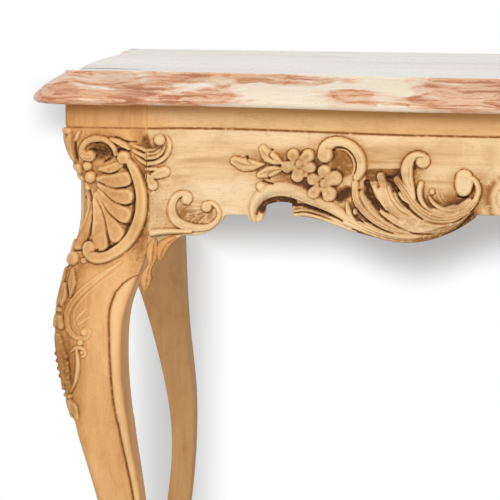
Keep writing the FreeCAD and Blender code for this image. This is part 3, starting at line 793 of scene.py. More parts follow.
def knee_strokes() -> list[Stroke]:
    """Shell, scrolls and berries on the knee.

    Returns:
        Strokes from the back to the front.
    """
    flat, ridged, leaf = Section.FLAT, Section.RIDGED, Section.LEAF
    lobes = (
        (((100, 168.4), (110, 168.4), (119, 166.2)), (1.5, 4.4, 5)),
        (((98.5, 178.4), (106, 178.8), (115, 180), (125, 179.2)), (2.4, 5.6, 7.4, 7.8)),
        (((99, 184.6), (107, 189), (116.6, 194.8), (126, 196.8)), (2, 5, 7.6, 8)),
        (((99, 190), (106, 199), (115.4, 209.4), (123.6, 215)), (1.6, 4.4, 7.4, 8.6)),
        (((97, 193), (102, 206), (109.4, 220.6), (116.6, 234.6)), (1.6, 4, 7, 8.6)),
        (((95, 194), (95.8, 208), (98.4, 225), (100.8, 243.6)), (1.6, 4, 7, 8.4)))
    strokes = [
        cut(-2.6, (11,), (98, 151), (105, 152)),
        cut(-1.6, (9,), (137, 133), (143, 145), (147, 158)),
        cut(-1, (4, 4, 7, 9), (147, 196), (147, 215), (143, 236), (143, 256)),
    ]
    strokes += stipple((94, 144), (112, 160), 34, 0.9)
    strokes += stipple((128, 230), (147.4, 270), 60, 0.5)
    strokes += stipple((148, 168), (168, 236), 150, 0.45)
    strokes += [Stroke(path, widths, 3, flat, 0) for path, widths in lobes]
    strokes += [cut(-0.9, tuple(0.74 * w for w in widths[1:]), *path[1:]) for path, widths in lobes]
    strokes += [
        cut(-2.3, (0.7, 1.2, 1.3, 1.4), (103, 173.4), (110, 174), (118, 170.6), (123, 167)),
        cut(-2.3, (0.7, 1.2, 1.3, 1.3, 1.4), (101, 182.4), (108, 186.4), (116, 188.4), (124, 187.6),
            (131, 184.6)),
        cut(-2.3, (0.7, 1.2, 1.3, 1.3, 1.4), (104, 191.4), (110, 198), (117, 203), (124.6, 205.4),
            (133, 203.6)),
        cut(-2.3, (0.7, 1.1, 1.3, 1.4, 1.4), (102, 201.6), (107, 210), (114, 217.8), (121, 222.8),
            (128, 225)),
        cut(-2.3, (0.7, 1.1, 1.2, 1.3, 1.4, 1.4), (96.4, 198), (101, 208), (104.6, 218), (107, 228),
            (108.6, 238), (109.2, 247)),
        cut(-3, (1.1, 1.2, 1.3, 1.3, 1.2, 0.9), (89, 191), (91.2, 200), (92.2, 212), (91.6, 224),
            (89.6, 234), (87, 241)),
        cut(-2.6, (1.9, 1.7, 1.5, 1.6, 1.5, 1.5, 1.6, 1.5, 1.5, 1.6, 1.5, 1.5, 1.4, 1.5, 1.6, 1.4, 1.3, 1),
            (124.4, 166.6), (130, 172.4), (132.6, 180), (132.4, 185), (134.4, 190.6), (134.6, 198),
            (133.4, 204), (133.4, 211), (131.4, 219), (128.4, 225), (126.2, 230), (124.2, 237), (119, 243),
            (113.4, 245.4), (109.6, 247.4), (106, 251.4), (101, 253), (95.4, 251.6)),
        Stroke(((128.8, 160.6), (134.4, 169.6), (138.4, 179), (141, 189), (142.2, 199), (141.6, 210),
                (139.2, 221), (135.6, 230.4), (130.6, 238.6), (124.2, 245.6), (116.2, 251.6), (107, 256.4),
                (98.4, 258), (91.6, 255.6), (88.8, 251), (89.2, 247.6)),
               (3, 4.6, 5.1, 5.2, 5.3, 5.3, 5.4, 5.6, 5.7, 5.7, 5.6, 5.5, 5.3, 5.6, 6.2, 6.6), 4.6, flat),
        cut(-2.6, (0.7, 1.2, 0.8), (92, 252.4), (96.4, 251.4), (98.6, 249)),
        Stroke(((115.8, 153.4), (114.2, 148.6), (110.2, 143.4), (104.2, 139.8), (96.4, 138.6), (88.4, 140.8),
                (83.4, 145.8), (82.2, 151), (85, 155.4), (90.2, 155.8)),
               (2.6, 3.2, 3.4, 3.4, 3.4, 3.4, 3.3, 3.3, 4.4, 5.6), 5, ridged),
        cut(-1.6, (0.7, 0.9, 0.6), (84.4, 149), (88, 144.2), (94.4, 141.6)),
        cut(-2.4, (0.8, 1.1, 1), (92.6, 150), (96, 152.6), (96.4, 157)),
        cut(-3, (0.8, 1.2, 1.3, 1.4, 1.4, 1.2, 0.8), (96, 143), (102, 142), (108, 145.2), (112, 151),
            (112.6, 155), (109.6, 159), (104, 162.4)),
        dome(123.8, 157, 6.6, 5.4, section=flat),
        Stroke(((111, 138.6), (118, 141.2), (124.6, 144.8), (129.4, 148.4)), (1.4, 3, 3.3, 1.6), 6.4, leaf),
        cut(-2.3, (0.7, 1.1, 1.4, 0.9), (115, 137), (119, 138.4), (126, 141.4), (136, 142)),
        cut(-3, (1.2, 1.3, 1.1, 0.7), (116.4, 153), (118.8, 149.6), (124, 149.4), (128.6, 151)),
        Stroke(((69.4, 134), (68.4, 146), (73, 160)), (2.4, 3.4, 1.4), 2.4, ridged),
        Stroke(((79.4, 131.6), (77, 136.6), (75, 141.6)), (1.6, 2.4, 1), 2.6),
        cut(-3, (1.1, 1.9, 1.3), (75.2, 141), (75.6, 150), (77.2, 161)),
        dome(66.8, 131, 3.4, 2.8, lean=1.5),
        dome(77.6, 169.6, 4.1, 4.4, 1.8, 0.3),
        dome(87.4, 166.2, 4.7, 3.8),
        dome(90.4, 177, 5.8, 6),
        Stroke(((78.5, 180), (82, 184.4), (88, 188.6)), (2.4, 3.8, 2), 3.4, leaf),
        cut(-2.4, (1.3,), (66, 249.6), (82, 250)),
        dome(72.2, 258.2, 6.4, 4.4, 0.5),
        dome(83.6, 260.6, 3, 2.4),
        dome(83.6, 260.6, 1.3, -1.8, section=Section.SUNK),
        Stroke(((132.5, 150.5), (139, 153.5), (147.6, 157.5)), (1, 2.2, 2.4), 2.6),
        Stroke(((133.5, 145.6), (140, 148), (147.6, 151.5)), (1, 1.8, 2), 2.4),
        Stroke(((136, 156.5), (141, 160.4), (147.6, 164.4)), (1, 2, 2.2), 2.4),
    ]
    return strokes


def shin_strokes() -> list[Stroke]:
    """Scroll lines, husks and the hanging acanthus below the knee.

    Returns:
        Strokes from the back to the front.
    """
    hollow, leaf = Section.HOLLOW, Section.LEAF
    pearls = ((66, 356.3), (66.7, 363.5), (67.2, 371), (67.5, 378))
    return [
        Stroke(((121, 262), (98, 278), (78.5, 294.5), (68.5, 308.5), (66.6, 320.5), (69.8, 331.5),
                (77.5, 338), (85.5, 338), (89.5, 332.5), (86, 328.5)),
               (1, 2, 2.6, 3, 3.2, 3, 2.8, 2.4, 2, 1.4), 1.5, hollow, 0.7),
        Stroke(((124, 266.5), (102, 282), (84, 297.5), (75.5, 309.5), (73.8, 320), (77, 329.5)),
               (0.8, 0.9, 0.9, 0.9, 0.9, 0.6), 0.7, Section.ROUND, 0.5),
        Stroke(((76, 320), (81, 314), (87, 309)), (0.8, 1.5, 0.6), 0.9, moat=0.4),
        Stroke(((78, 325), (84, 320.6), (90, 317)), (0.8, 1.5, 0.6), 0.9, moat=0.4),
        dome(84.4, 332.4, 3.8, 2.4),
        dome(80.3, 342.8, 3.2, 2.8),
        Stroke(((71, 351.5), (77, 347.8), (84, 349.8), (85, 354.8), (81.4, 357)),
               (1, 1.9, 2, 1.8, 1.2), 1.8),
        dome(81.8, 352.6, 2, 2),
        Stroke(((73, 269), (71.8, 283), (70.6, 296.5)), (1.4, 4.8, 1), 3, leaf),
        Stroke(((65, 283.5), (62.8, 295), (61.6, 305.5)), (1.6, 4.8, 1.2), 3, leaf),
        dome(59.4, 309.6, 2.7, 2.8),
        dome(60.4, 322, 3.2, 2.8, 4.4, 0.5),
        Stroke(((58, 336), (60, 352), (64.4, 372), (70.5, 391.6)),
               (3, 5.6, 5.4, 1.2), 1.2, Section.FLAT, 0.8),
        Stroke(((76.6, 350), (78, 364), (75.8, 380), (71, 391.6)), (1.4, 2.6, 2.4, 1), 2.6, moat=0.8),
        *[dome(x, y, 2.5, 2.8, moat=1) for x, y in pearls],
        dome(70, 396.4, 2.4, 2.6),
        Stroke(((69.8, 400), (73.6, 407.5), (78, 418)), (1.2, 4.2, 1.4), 2.8, leaf),
    ]


def bracket_strokes() -> list[Stroke]:
    """Scrolls and leaves of the apron beside the leg.

    Returns:
        Strokes from the back to the front.
    """
    leaf, flat, ridged = Section.LEAF, Section.FLAT, Section.RIDGED
    rays = (
        ((203, 205), (190, 204)), ((202.4, 208.4), (187, 209)), ((203, 211.4), (187.6, 215)),
        ((205, 213.6), (191.6, 220.4)), ((207.6, 214.6), (199.4, 223)))
    return [
        cut(-1.2, (9.5,), (184, 213), (197, 217), (209, 214)),
        cut(-1.4, (7,), (147, 140), (155, 146), (162, 160)),
        Stroke(((165.6, 134.6), (169.4, 142), (168.8, 150.4), (164, 157.6), (156, 162.4), (146.5, 163.6)),
               (1, 2.2, 2.6, 2.4, 2.2, 2), 3.4, moat=0.6),
        Stroke(((164.6, 147.4), (161.6, 152.6), (155.6, 156.8), (146.5, 158.4)),
               (0.9, 2, 2.1, 1.9), 3, moat=0.5),
        Stroke(((160.6, 149.4), (156.6, 152.2), (151, 153.8), (146.5, 153.8)),
               (0.9, 1.7, 1.7, 1.6), 2.7, moat=0.5),
        Stroke(((156, 149), (152, 150.2), (146.5, 149.8)), (0.7, 1.4, 1.4), 2.3, moat=0.5),
        dome(159.6, 140, 5.6, 4.6, section=flat),
        Stroke(((146.5, 169), (157, 169.2)), (1.7, 1.9), 2.6, moat=0.7),
        Stroke(((153, 175.8), (160, 173.2), (165, 171.8)), (3.2, 5.4, 5.4), 3.8, leaf),
        Stroke(((147.4, 175), (150, 180), (152.8, 185.2)), (2.2, 4, 5.2), 3.6, leaf),
        *[cut(0.7, (1.2,), *ray) for ray in rays],
        dome(206.6, 206.6, 5.4, 3.8, section=flat, moat=0.7),
        dome(186, 199.4, 4.8, 5, section=flat, moat=0.7),
        Stroke(((188, 203.4), (190.8, 199), (189, 194.8), (183, 193.4), (176.6, 196), (172.4, 203.6),
                (172, 212.4), (176, 220.4), (184.6, 225.4), (197, 227.8), (209, 226.4), (216, 221.6),
                (219.4, 214.6), (217.6, 208), (212, 203.2), (205.6, 203.4)),
               (1.4, 2, 2.8, 3.2, 3.8, 4.4, 4.8, 4.8, 4.2, 3.6, 3, 2.6, 2.4, 2.2, 2, 1.4), 4.8, ridged, 0.7),
        Stroke(((191, 231.4), (175, 231.2), (161, 232), (152.4, 233.2)), (1.4, 2.2, 3, 3.4), 4, moat=0.7),
        Stroke(((180, 235.4), (168, 241), (161, 251)), (1, 2.6, 1.2), 3, moat=0.6),
    ]


def ground_strokes() -> list[Stroke]:
    """Grounds that are cut back before the ornament of the front stands on them.

    Returns:
        Strokes in order.
    """
    bed = Section.BED
    return [
        cut(-1, (17,), (300, 168), (322, 184)),
        Stroke(((342.4, 159.6), (342.8, 167)), (11.6,), -1.7, bed),
        Stroke(((371.4, 175.4), (398.4, 175.4)), (7,), -1.9, bed),
        cut(-3.2, (7,), (339.6, 197), (346.6, 192)),
        cut(-4.2, (4.4,), (262, 210), (267, 203), (279, 200), (293, 202)),
    ]


def flower_strokes() -> list[Stroke]:
    """Leaves, two flowers and the upper scroll.

    Returns:
        Strokes from the back to the front.
    """
    leaf, flat = Section.LEAF, Section.FLAT
    strokes = [
        Stroke(((264, 164), (254, 165), (244, 164.4), (235, 160.8)), (1, 5.2, 6.8, 4.6), 4.4, leaf),
        cut(-3, (1.5, 1.1, 0.5), (247, 156.4), (248.4, 161.2), (252.6, 163.6)),
        cut(1.2, (1.2, 1.8, 0.9), (233, 158.4), (238.6, 158.6), (244, 161.6)),
        Stroke(((284, 163.4), (275, 159.4), (267, 154.4), (263, 148.8)), (1, 5.4, 6.8, 4), 4.4, leaf),
        cut(-3, (1.5, 1.1, 0.5), (272, 150), (270, 155.6), (274, 160)),
        cut(1.2, (1.2, 1.8, 0.9), (262, 147.4), (265.4, 150), (268, 155.6)),
        Stroke(((284, 168.6), (274, 170.4), (266, 172.6), (260.4, 174.4)), (1, 4.8, 5.8, 3.6), 4.4, leaf),
        cut(-3, (1.5, 1.1, 0.5), (269, 178), (268.8, 174.2), (273.4, 171.6)),
        cut(1.2, (1, 1.6, 0.8), (259, 175.4), (263.4, 176.4), (267.4, 174.6)),
        Stroke(((357.4, 177), (361, 171), (361.8, 162.6), (358.8, 153.6), (351, 145.8), (340.4, 141.8),
                (331, 143.4), (326, 149), (325.4, 155)),
               (3.8, 4.8, 4.8, 4.8, 4.8, 4.8, 5.2, 6.6, 7.7), 6, flat),
        Stroke(((337.6, 149.4), (343.6, 149.6), (350, 154.2), (354.2, 161.6), (354.6, 169.4), (352.4, 175)),
               (0.8, 1.3, 1.6, 1.6, 1.6, 1), 0.8, moat=0.5),
        cut(-3, (1, 1.2), (327.6, 148), (334.6, 150.2)),
        cut(-2.4, (1,), (336, 146.8), (345.6, 147.6), (352.6, 154), (356.6, 164), (355.4, 173)),
    ]
    hearts = ((299.7, 163.8), (324, 183))
    petals = (
        (0, 293.6, 155.4, 6.6, 4.8), (0, 287.6, 166.8, 6.4, 5.2), (0, 306, 174, 3.8, 4.2),
        (0, 298, 175.6, 6.8, 5.2), (0, 310.6, 167.6, 6, 5.4), (0, 308.2, 156, 6.9, 6),
        (1, 324.4, 171.4, 6.9, 4.8), (1, 313.6, 179.4, 6.6, 5.2), (1, 314.8, 192, 6.3, 5.2),
        (1, 329.6, 193.6, 7.6, 6), (1, 334.8, 178.2, 7.6, 6))
    for which, x, y, radius, height in petals:
        heart = hearts[which]
        strokes.append(Stroke((heart, (x, y)), (0.45 * radius, 0.8 * radius, radius), height, moat=0.8))
        strokes.append(cut(-1.3, (0.3 * radius, 0.55 * radius), heart, (x, y)))
    strokes += [dome(x, y, 3.7, 6.2, 0.8, moat=1.2) for x, y in hearts]
    return strokes


def arch_strokes() -> list[Stroke]:
    """Moulding round the small arch and its run towards the acanthus.

    Returns:
        Strokes from the back to the front.
    """
    return [
        cut(4.8, (1.6, 4.2, 5.4, 6.4, 7.4, 7.4, 7.2, 6.6, 5.8, 4.8, 2.4), (255.4, 222), (252.6, 213),
            (254.4, 203), (261, 194.4), (272, 189.6), (284, 189), (298, 192.4), (312, 198.6), (328, 206.4),
            (344, 216), (360, 226)),
        dome(261, 186.4, 4.6, 5, moat=0.4),
        cut(-2.6, (0.9, 1.1, 0.6), (263, 180.8), (268, 182.8), (274, 184)),
        cut(-1.4, (0.8,), (257.4, 191.4), (262.6, 191.8)),
        cut(-2, (1.4, 1.8, 1.2), (256.6, 214.4), (258.6, 208.4), (262.6, 203)),
        cut(1.2, (0.8, 1.1, 1.2, 1.2, 1.2, 1.1, 1, 1, 0.8), (262, 203.6), (268, 198.4), (276, 195.8),
            (285, 195.4), (296, 198.4), (309, 203.6), (324, 210.2), (340, 218.6), (354, 227)),
        cut(-3, (1.6, 2, 2, 1.6, 0.8), (294, 205), (306, 205.6), (320, 209.8), (336, 217), (350, 225.2)),
        Stroke(((294.6, 211), (306, 210), (322, 214), (338, 220.8), (352, 228)),
               (1.2, 1.6, 1.8, 1.7, 1), 3.2),
        Stroke(((295, 215), (304, 214), (318, 217), (336, 223.6), (356, 232)), (1.8, 1.7, 1.9, 2, 1.4), 3.4),
        dome(300.4, 214.4, 2, 3.6),
    ]


def acanthus_strokes() -> list[Stroke]:
    """Acanthus strands and scrolls towards the middle of the apron.

    Returns:
        Strokes from the back to the front.
    """
    flat, ridged, lined = Section.FLAT, Section.RIDGED, Section.LINED
    inner = np.array((
        (359, 207), (370, 216), (386, 225.5), (404, 231.5),
        (422, 231), (440, 226.5), (456, 219.5), (470, 209)))
    outer = np.array((
        (348, 224), (363, 232.4), (381, 238.4), (401, 242),
        (421, 241.4), (440, 237.4), (459, 229.4), (475, 215)))
    flow = [
        cut(-2.2, (0.6, 1.1, 1.2, 1.2, 1.1, 0.6), *map(tuple, inner + (outer - inner) * share))
        for share in (0.16, 0.33, 0.5, 0.66, 0.83)]
    return [
        Stroke(((346, 222), (360, 226), (376, 230), (392, 232.4), (410, 232.6), (430, 229), (450, 222),
                (466, 211.6)), (3, 5.5, 9, 11.5, 12.5, 12, 9.5, 5), 5, moat=0.2),
        Stroke(((360, 196), (368, 208), (381, 219), (398, 226), (418, 227), (440, 222), (457, 213),
                (469, 203)), (5, 8, 10, 10.5, 10, 9.5, 8, 5), 4.6, flat, 0),
        Stroke(((383, 192), (391, 203), (403, 212), (420, 216), (440, 214), (455, 208)),
               (6, 8, 9, 9, 7, 4), 4.2, flat, 0),
        *flow,
        cut(-4.8, (3.4, 4.4, 3.4, 1.2), (366.4, 182.6), (369.4, 193), (373.8, 202.4), (379.4, 210)),
        cut(-4.4, (2.6, 3.4, 1.8), (388.6, 178.4), (393.6, 184), (397, 191.6)),
        cut(-3.2, (1, 1.8, 1.3), (399.6, 196), (403.8, 203.6), (408.6, 208)),
        Stroke(((355.6, 183), (355.4, 192), (356.8, 200), (361, 207.8), (368, 214.8), (378, 221.8),
                (390, 227.6), (402, 231.4)), (3.3, 3.6, 3.6, 3.7, 3.9, 3.7, 3, 1.2), 6.4, lined, 0.5),
        cut(-2, (0.7, 1, 0.6), (359.4, 190), (361, 199), (365.4, 206.8)),
        cut(-2.6, (0.9, 1.4, 1.4, 1.2, 1, 0.5), (357, 207.6), (362, 213.8), (368.4, 219.8), (376, 225.2),
            (385, 230), (394, 233.2)),
        cut(1.7, (1.6, 2.3, 2.5, 2.4, 2.2, 2, 1), (355.6, 211), (362, 217.8), (370, 224.2), (380, 230),
            (391, 234.4), (403, 237), (418, 237.4)),
        Stroke(((362.4, 191.6), (364.6, 199), (369.6, 207.4), (377, 215), (386.6, 221.8), (397.6, 227.6),
                (409, 231.6)), (1.8, 2.3, 2.4, 2.3, 2.1, 1.8, 0.8), 6.6, moat=0.4),
        cut(-2.8, (1.4, 1.4, 1.3, 1.2, 1.2, 1, 0.5), (375.4, 207), (381.4, 214.4), (389, 220.6),
            (398.6, 226.8), (408.4, 231.2), (418.4, 233.6), (432, 233.8)),
        Stroke(((374.6, 186.4), (378, 194), (382.2, 201.6), (387.4, 209.6)),
               (2.3, 2.7, 2.4, 1), 6.2, ridged, 0.5),
        cut(-2.6, (0.7, 1.2, 0.7), (378.6, 199.6), (382.6, 206.4), (387, 211.6)),
        Stroke(((380.6, 176), (383.4, 184), (385.6, 191.6), (388.6, 199.6), (393.4, 207.6), (400.4, 215),
                (410.4, 221), (424, 224.6)), (3.9, 3.9, 3.3, 3.2, 3.2, 3.1, 2.6, 1), 6.8, lined, 0.5),
        Stroke(((389.4, 187), (392, 194.4), (396.2, 202), (402.6, 209), (411, 214.6)),
               (1.7, 2.1, 2.2, 2, 0.8), 6.2, moat=0.5),
        Stroke(((395, 192.6), (398.6, 199.6), (403.4, 205.6)), (1.2, 1.6, 0.8), 5.6, moat=0.4),
        Stroke(((400.2, 193), (403.2, 197.8), (408, 202.4)), (1.9, 2.2, 0.9), 5.8, moat=0.6),
        cut(-3, (1.5, 1.4, 0.6), (407.6, 206.6), (415, 213.4), (423, 219.2)),
        cut(-1.5, (0.6, 0.9, 0.9, 0.9, 0.5), (424, 220.6), (436, 223), (448, 223), (460, 219.4), (470, 211)),
        cut(1.3, (0.8, 1.4, 1.4, 1.3, 0.7), (422, 222.6), (436, 225.4), (450, 224.6), (462, 220),
            (471, 212)),
        Stroke(((347.4, 203.4), (348.6, 210), (352, 217.6), (358, 224)),
               (1.8, 2.8, 2.6, 1), 5.4, ridged, 0.5),
        dome(355.6, 211.4, 2.2, 5.8, 1, moat=0.4),
        dome(432.2, 191.8, 2.6, 4.6, 0.3, moat=0.6),
        Stroke(((429.4, 197.4), (434, 203.4), (442, 208.2), (451, 209.8), (460, 207.8)),
               (1.4, 2.1, 2.3, 2.1, 0.9), 5.4, moat=0.6),
        cut(1.4, (0.7, 1.1, 0.6), (436.6, 191), (438.8, 197), (442.4, 202.6)),
        cut(1.2, (0.6, 1, 0.5), (441, 193.4), (443.4, 198.4), (447, 202)),
        Stroke(((421, 184), (419.6, 190.6), (420.4, 197.6), (424, 204.6), (431, 210.4)),
               (3.1, 2.9, 2.6, 2.3, 0.9), 6, moat=0.6),
        dome(422.8, 160.8, 7.4, 6, section=flat),
        Stroke(((413.8, 198), (410.6, 188), (407.8, 178), (407.2, 168), (410.6, 159.4), (417, 155.2),
                (424, 155.4)), (2.6, 4.2, 5.4, 6.2, 5.6, 4.2, 2.6), 6, flat),
        cut(-2.2, (1, 1.1, 1, 0.6), (415.4, 169), (414.6, 163), (417.6, 157.6), (423.6, 156.4)),
        cut(-1.6, (0.6, 1, 0.6), (410.4, 165), (409.4, 176), (411.8, 187)),
        Stroke(((464.2, 178.2), (464.2, 188.2)), (8.6, 9.2, 9.4, 9.2, 8.6), 6.2, flat),
        cut(-0.8, (4.6, 5.6, 4.6), (464.6, 179), (464.2, 187)),
        Stroke(((397.2, 179.6), (402.6, 186.6), (408.4, 195.8), (414.4, 204.4), (422, 211.6), (431, 216.6),
                (442, 218.6), (453, 217.2), (463, 213.2), (471, 206.4), (476.4, 198)),
               (3.7, 4.1, 4.5, 4.8, 4.9, 4.7, 4.4, 4, 3.5, 3.2, 3), 7.4, lined, 0.6),
        Stroke(((475.6, 200), (478.4, 191), (476.6, 183), (471, 177.6), (465, 176)),
               (3, 3, 2.8, 2.4, 1.4), 6.6, moat=0.15),
        cut(-3, (1.4, 1.7, 1.6, 0.8), (473, 187), (470.4, 192.8), (465, 197), (457.6, 196.6)),
    ]


def patina_and_shade_washes() -> list[Stroke]:
    """Places where wax and dust have darkened the wood, and painted shade under turned-under edges, in deep
    grounds and round the shell, with the strength as their height.

    Returns:
        Washes in order.
    """
    rows = (
        (((100, 140), (112, 176), (112, 215), (98, 250)), (28, 26, 26, 22), 0.26),
        (((141, 226), (138, 248), (138, 268)), (9, 13, 13), 0.26),
        (((76, 268), (64, 300), (62, 340), (68, 385), (76, 412)), (14, 18, 20, 14, 8), 0.36),
        (((66, 340), (67, 362), (70, 386)), (8, 10, 5), 0.16),
        (((68, 136), (75, 172), (84, 205), (82, 240)), (9, 10, 8, 8), 0.22),
        (((142, 136), (147, 156), (146, 176)), (10, 13, 10), 0.22),
        (((160, 150), (170, 152)), (12,), 0.14),
        (((158, 190), (158, 220)), (12,), 0.1),
        (((192, 212), (200, 214)), (18,), 0.2),
        (((296, 166), (324, 184)), (22, 22), 0.31),
        (((258, 206), (270, 194), (292, 192), (325, 210)), (10, 12, 12, 12), 0.15),
        (((404, 184), (406, 164), (420, 158)), (11, 11, 12), 0.14),
        (((236, 161), (276, 164)), (14, 16), 0.12),
        (((343, 160), (343, 168)), (13,), 0.22),
        (((340, 196), (347, 191)), (8,), 0.26),
        (((372, 176), (398, 177)), (10,), 0.24),
        (((366, 184), (371, 195), (378, 206)), (7, 7, 4), 0.28),
        (((390, 179), (396, 188), (403, 202)), (6, 6, 4), 0.26),
        (((360, 205), (390, 220), (425, 224), (458, 212)), (20, 26, 26, 20), 0.26),
        (((420, 241), (448, 233), (466, 221), (476, 212)), (7, 11, 10, 6), 0.22),
        (((340, 228), (360, 234.6), (380, 240), (400, 243), (420, 242.6), (440, 238.6), (460, 230),
          (475, 217)), (4.4,), 0.4),
        (((438, 194), (450, 201), (463, 201)), (10, 11, 8), 0.2),
        (((268, 203), (280, 200.6), (293, 203)), (5,), 0.46),
        (((293, 207), (310, 209), (330, 216)), (5, 6, 4), 0.36),
        (((490, 150), (487, 184), (484, 200), (485, 216)), (12, 12, 11, 11), 0.2),
        (((501, 176), (489, 191), (488.6, 202), (493, 216)), (3,), 0.5))
    return [Stroke(*row) for row in rows]


def carve() -> ReliefField:
    """Draws the whole carving.

    Returns:
        The finished field.
    """
    relief = ReliefField()
    for group in (knee_strokes, shin_strokes, bracket_strokes, ground_strokes, flower_strokes, arch_strokes,
                  acanthus_strokes):
        for stroke in group():
            relief.lay(stroke)
    relief.close(patina_and_shade_washes())
    return relief


# Meshes


def add_object(name: str, mesh: Mesh) -> Item:
    """Links a mesh as an object at the origin.

    Args:
        name: Object name.
        mesh: Its mesh.

    Returns:
        The object.
    """
    made = bpy.data.objects.new(name, mesh)
    bpy.context.scene.collection.objects.link(made)
    return made


def tube_object(name: str, rings: Array, crease: float = 40.0) -> Item:
    """Closed mesh from rings of points joined one to the next, with both ends closed.

    Args:
        name: Object name.
        rings: Array of rings, points of a ring and coordinates.
        crease: Angle in degrees above which an edge stays sharp.

    Returns:
        The object.
    """
    count, size = rings.shape[:2]
    index = np.arange(count * size).reshape(count, size)
    following = np.roll(index, -1, axis=1)
    quads = np.stack((index[:-1], following[:-1], following[1:], index[1:]), axis=-1).reshape(-1, 4)
    faces = quads.tolist()
    faces.append(index[0, ::-1].tolist())
    faces.append(index[-1].tolist())
    mesh = bpy.data.meshes.new(name)
    mesh.from_pydata(rings.reshape(-1, 3).tolist(), [], faces)
    tidy = bmesh.new()
    tidy.from_mesh(mesh)
    bmesh.ops.recalc_face_normals(tidy, faces=tidy.faces)
    tidy.to_mesh(mesh)
    tidy.free()
    mesh.shade_smooth()
    mesh.set_sharp_from_angle(angle=math.radians(crease))
    return add_object(name, mesh)


def apply_modifiers(made: Item) -> Mesh:
    """Turns the modifiers of an object into plain mesh.

    Args:
        made: The object.

    Returns:
        Its new mesh.
    """
    bpy.context.view_layer.update()
    graph = bpy.context.evaluated_depsgraph_get()
    plain = bpy.data.meshes.new_from_object(made.evaluated_get(graph))
    made.modifiers.clear()
    made.data = plain
    return plain


def set_values(made: Item, name: str, values: Array) -> None:
    """Stores one value for each point of a mesh."""
    layer = made.data.attributes.new(name, "FLOAT", "POINT")
    layer.data.foreach_set("value", values.astype(np.float32).ravel())


def mirror_object(made: Item, name: str) -> Item:
    """Copy of an object on the other side of the table.

    Args:
        made: Object of the left side.
        name: Name of the copy.

    Returns:
        The copy.
    """
    mesh = made.data.copy()
    mesh.transform(Matrix.Scale(-1, 4, (1, 0, 0)))
    mesh.flip_normals()
    return add_object(name, mesh)


def dress(made: Item, material: Material, *nodes: str, body: Body = Body.FRAME,
          slot: Slot = Slot.CARVED) -> None:
    """Gives a piece its finish and its place in the frame.

    Args:
        made: The piece.
        material: Its material.
        nodes: Nodes of the frame it stands for.
        body: Body it moves with.
        slot: Material slot; not used.
    """
    made.data.materials.clear()
    made.data.materials.append(material)
    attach(made, body.value)
    if nodes:
        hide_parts(*nodes)
    LOG.info("piece %s, %d faces", made.name, len(made.data.polygons))


def node_tree(*nodes: str) -> BVHTree:
    """Search tree over the surface of frame nodes.

    Args:
        nodes: Names of the nodes.

    Returns:
        The tree.
    """
    points, faces = [], []
    for name in nodes:
        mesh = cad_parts[name].data
        start = len(points)
        points += [v.co.copy() for v in mesh.vertices]
        faces += [tuple(start + i for i in p.vertices) for p in mesh.polygons]
    return BVHTree.FromPolygons(points, faces)


def reach(tree: BVHTree, start: tuple, way: tuple, fallback: float) -> float:
    """Distance from a point to a surface."""
    distance = tree.ray_cast(Vector(start), Vector(way))[3]
    return fallback if distance is None else distance


def soften(values: Array, spread: float, axis: int) -> Array:
    """Blur along one axis of an array, with the ends held.

    Args:
        values: The array.
        spread: Width of the blur in samples.
        axis: Axis.

    Returns:
        Blurred array.
    """
    half = max(1, int(3 * spread))
    kernel = np.exp(-0.5 * (np.arange(-half, half + 1) / spread) ** 2)
    kernel /= kernel.sum()
    moved = np.moveaxis(values, axis, 0)
    padded = np.concatenate((np.repeat(moved[:1], half, 0), moved, np.repeat(moved[-1:], half, 0)))
    total = sum(weight * padded[k:k + len(moved)] for k, weight in enumerate(kernel))
    return np.moveaxis(total, 0, axis)


# Legs


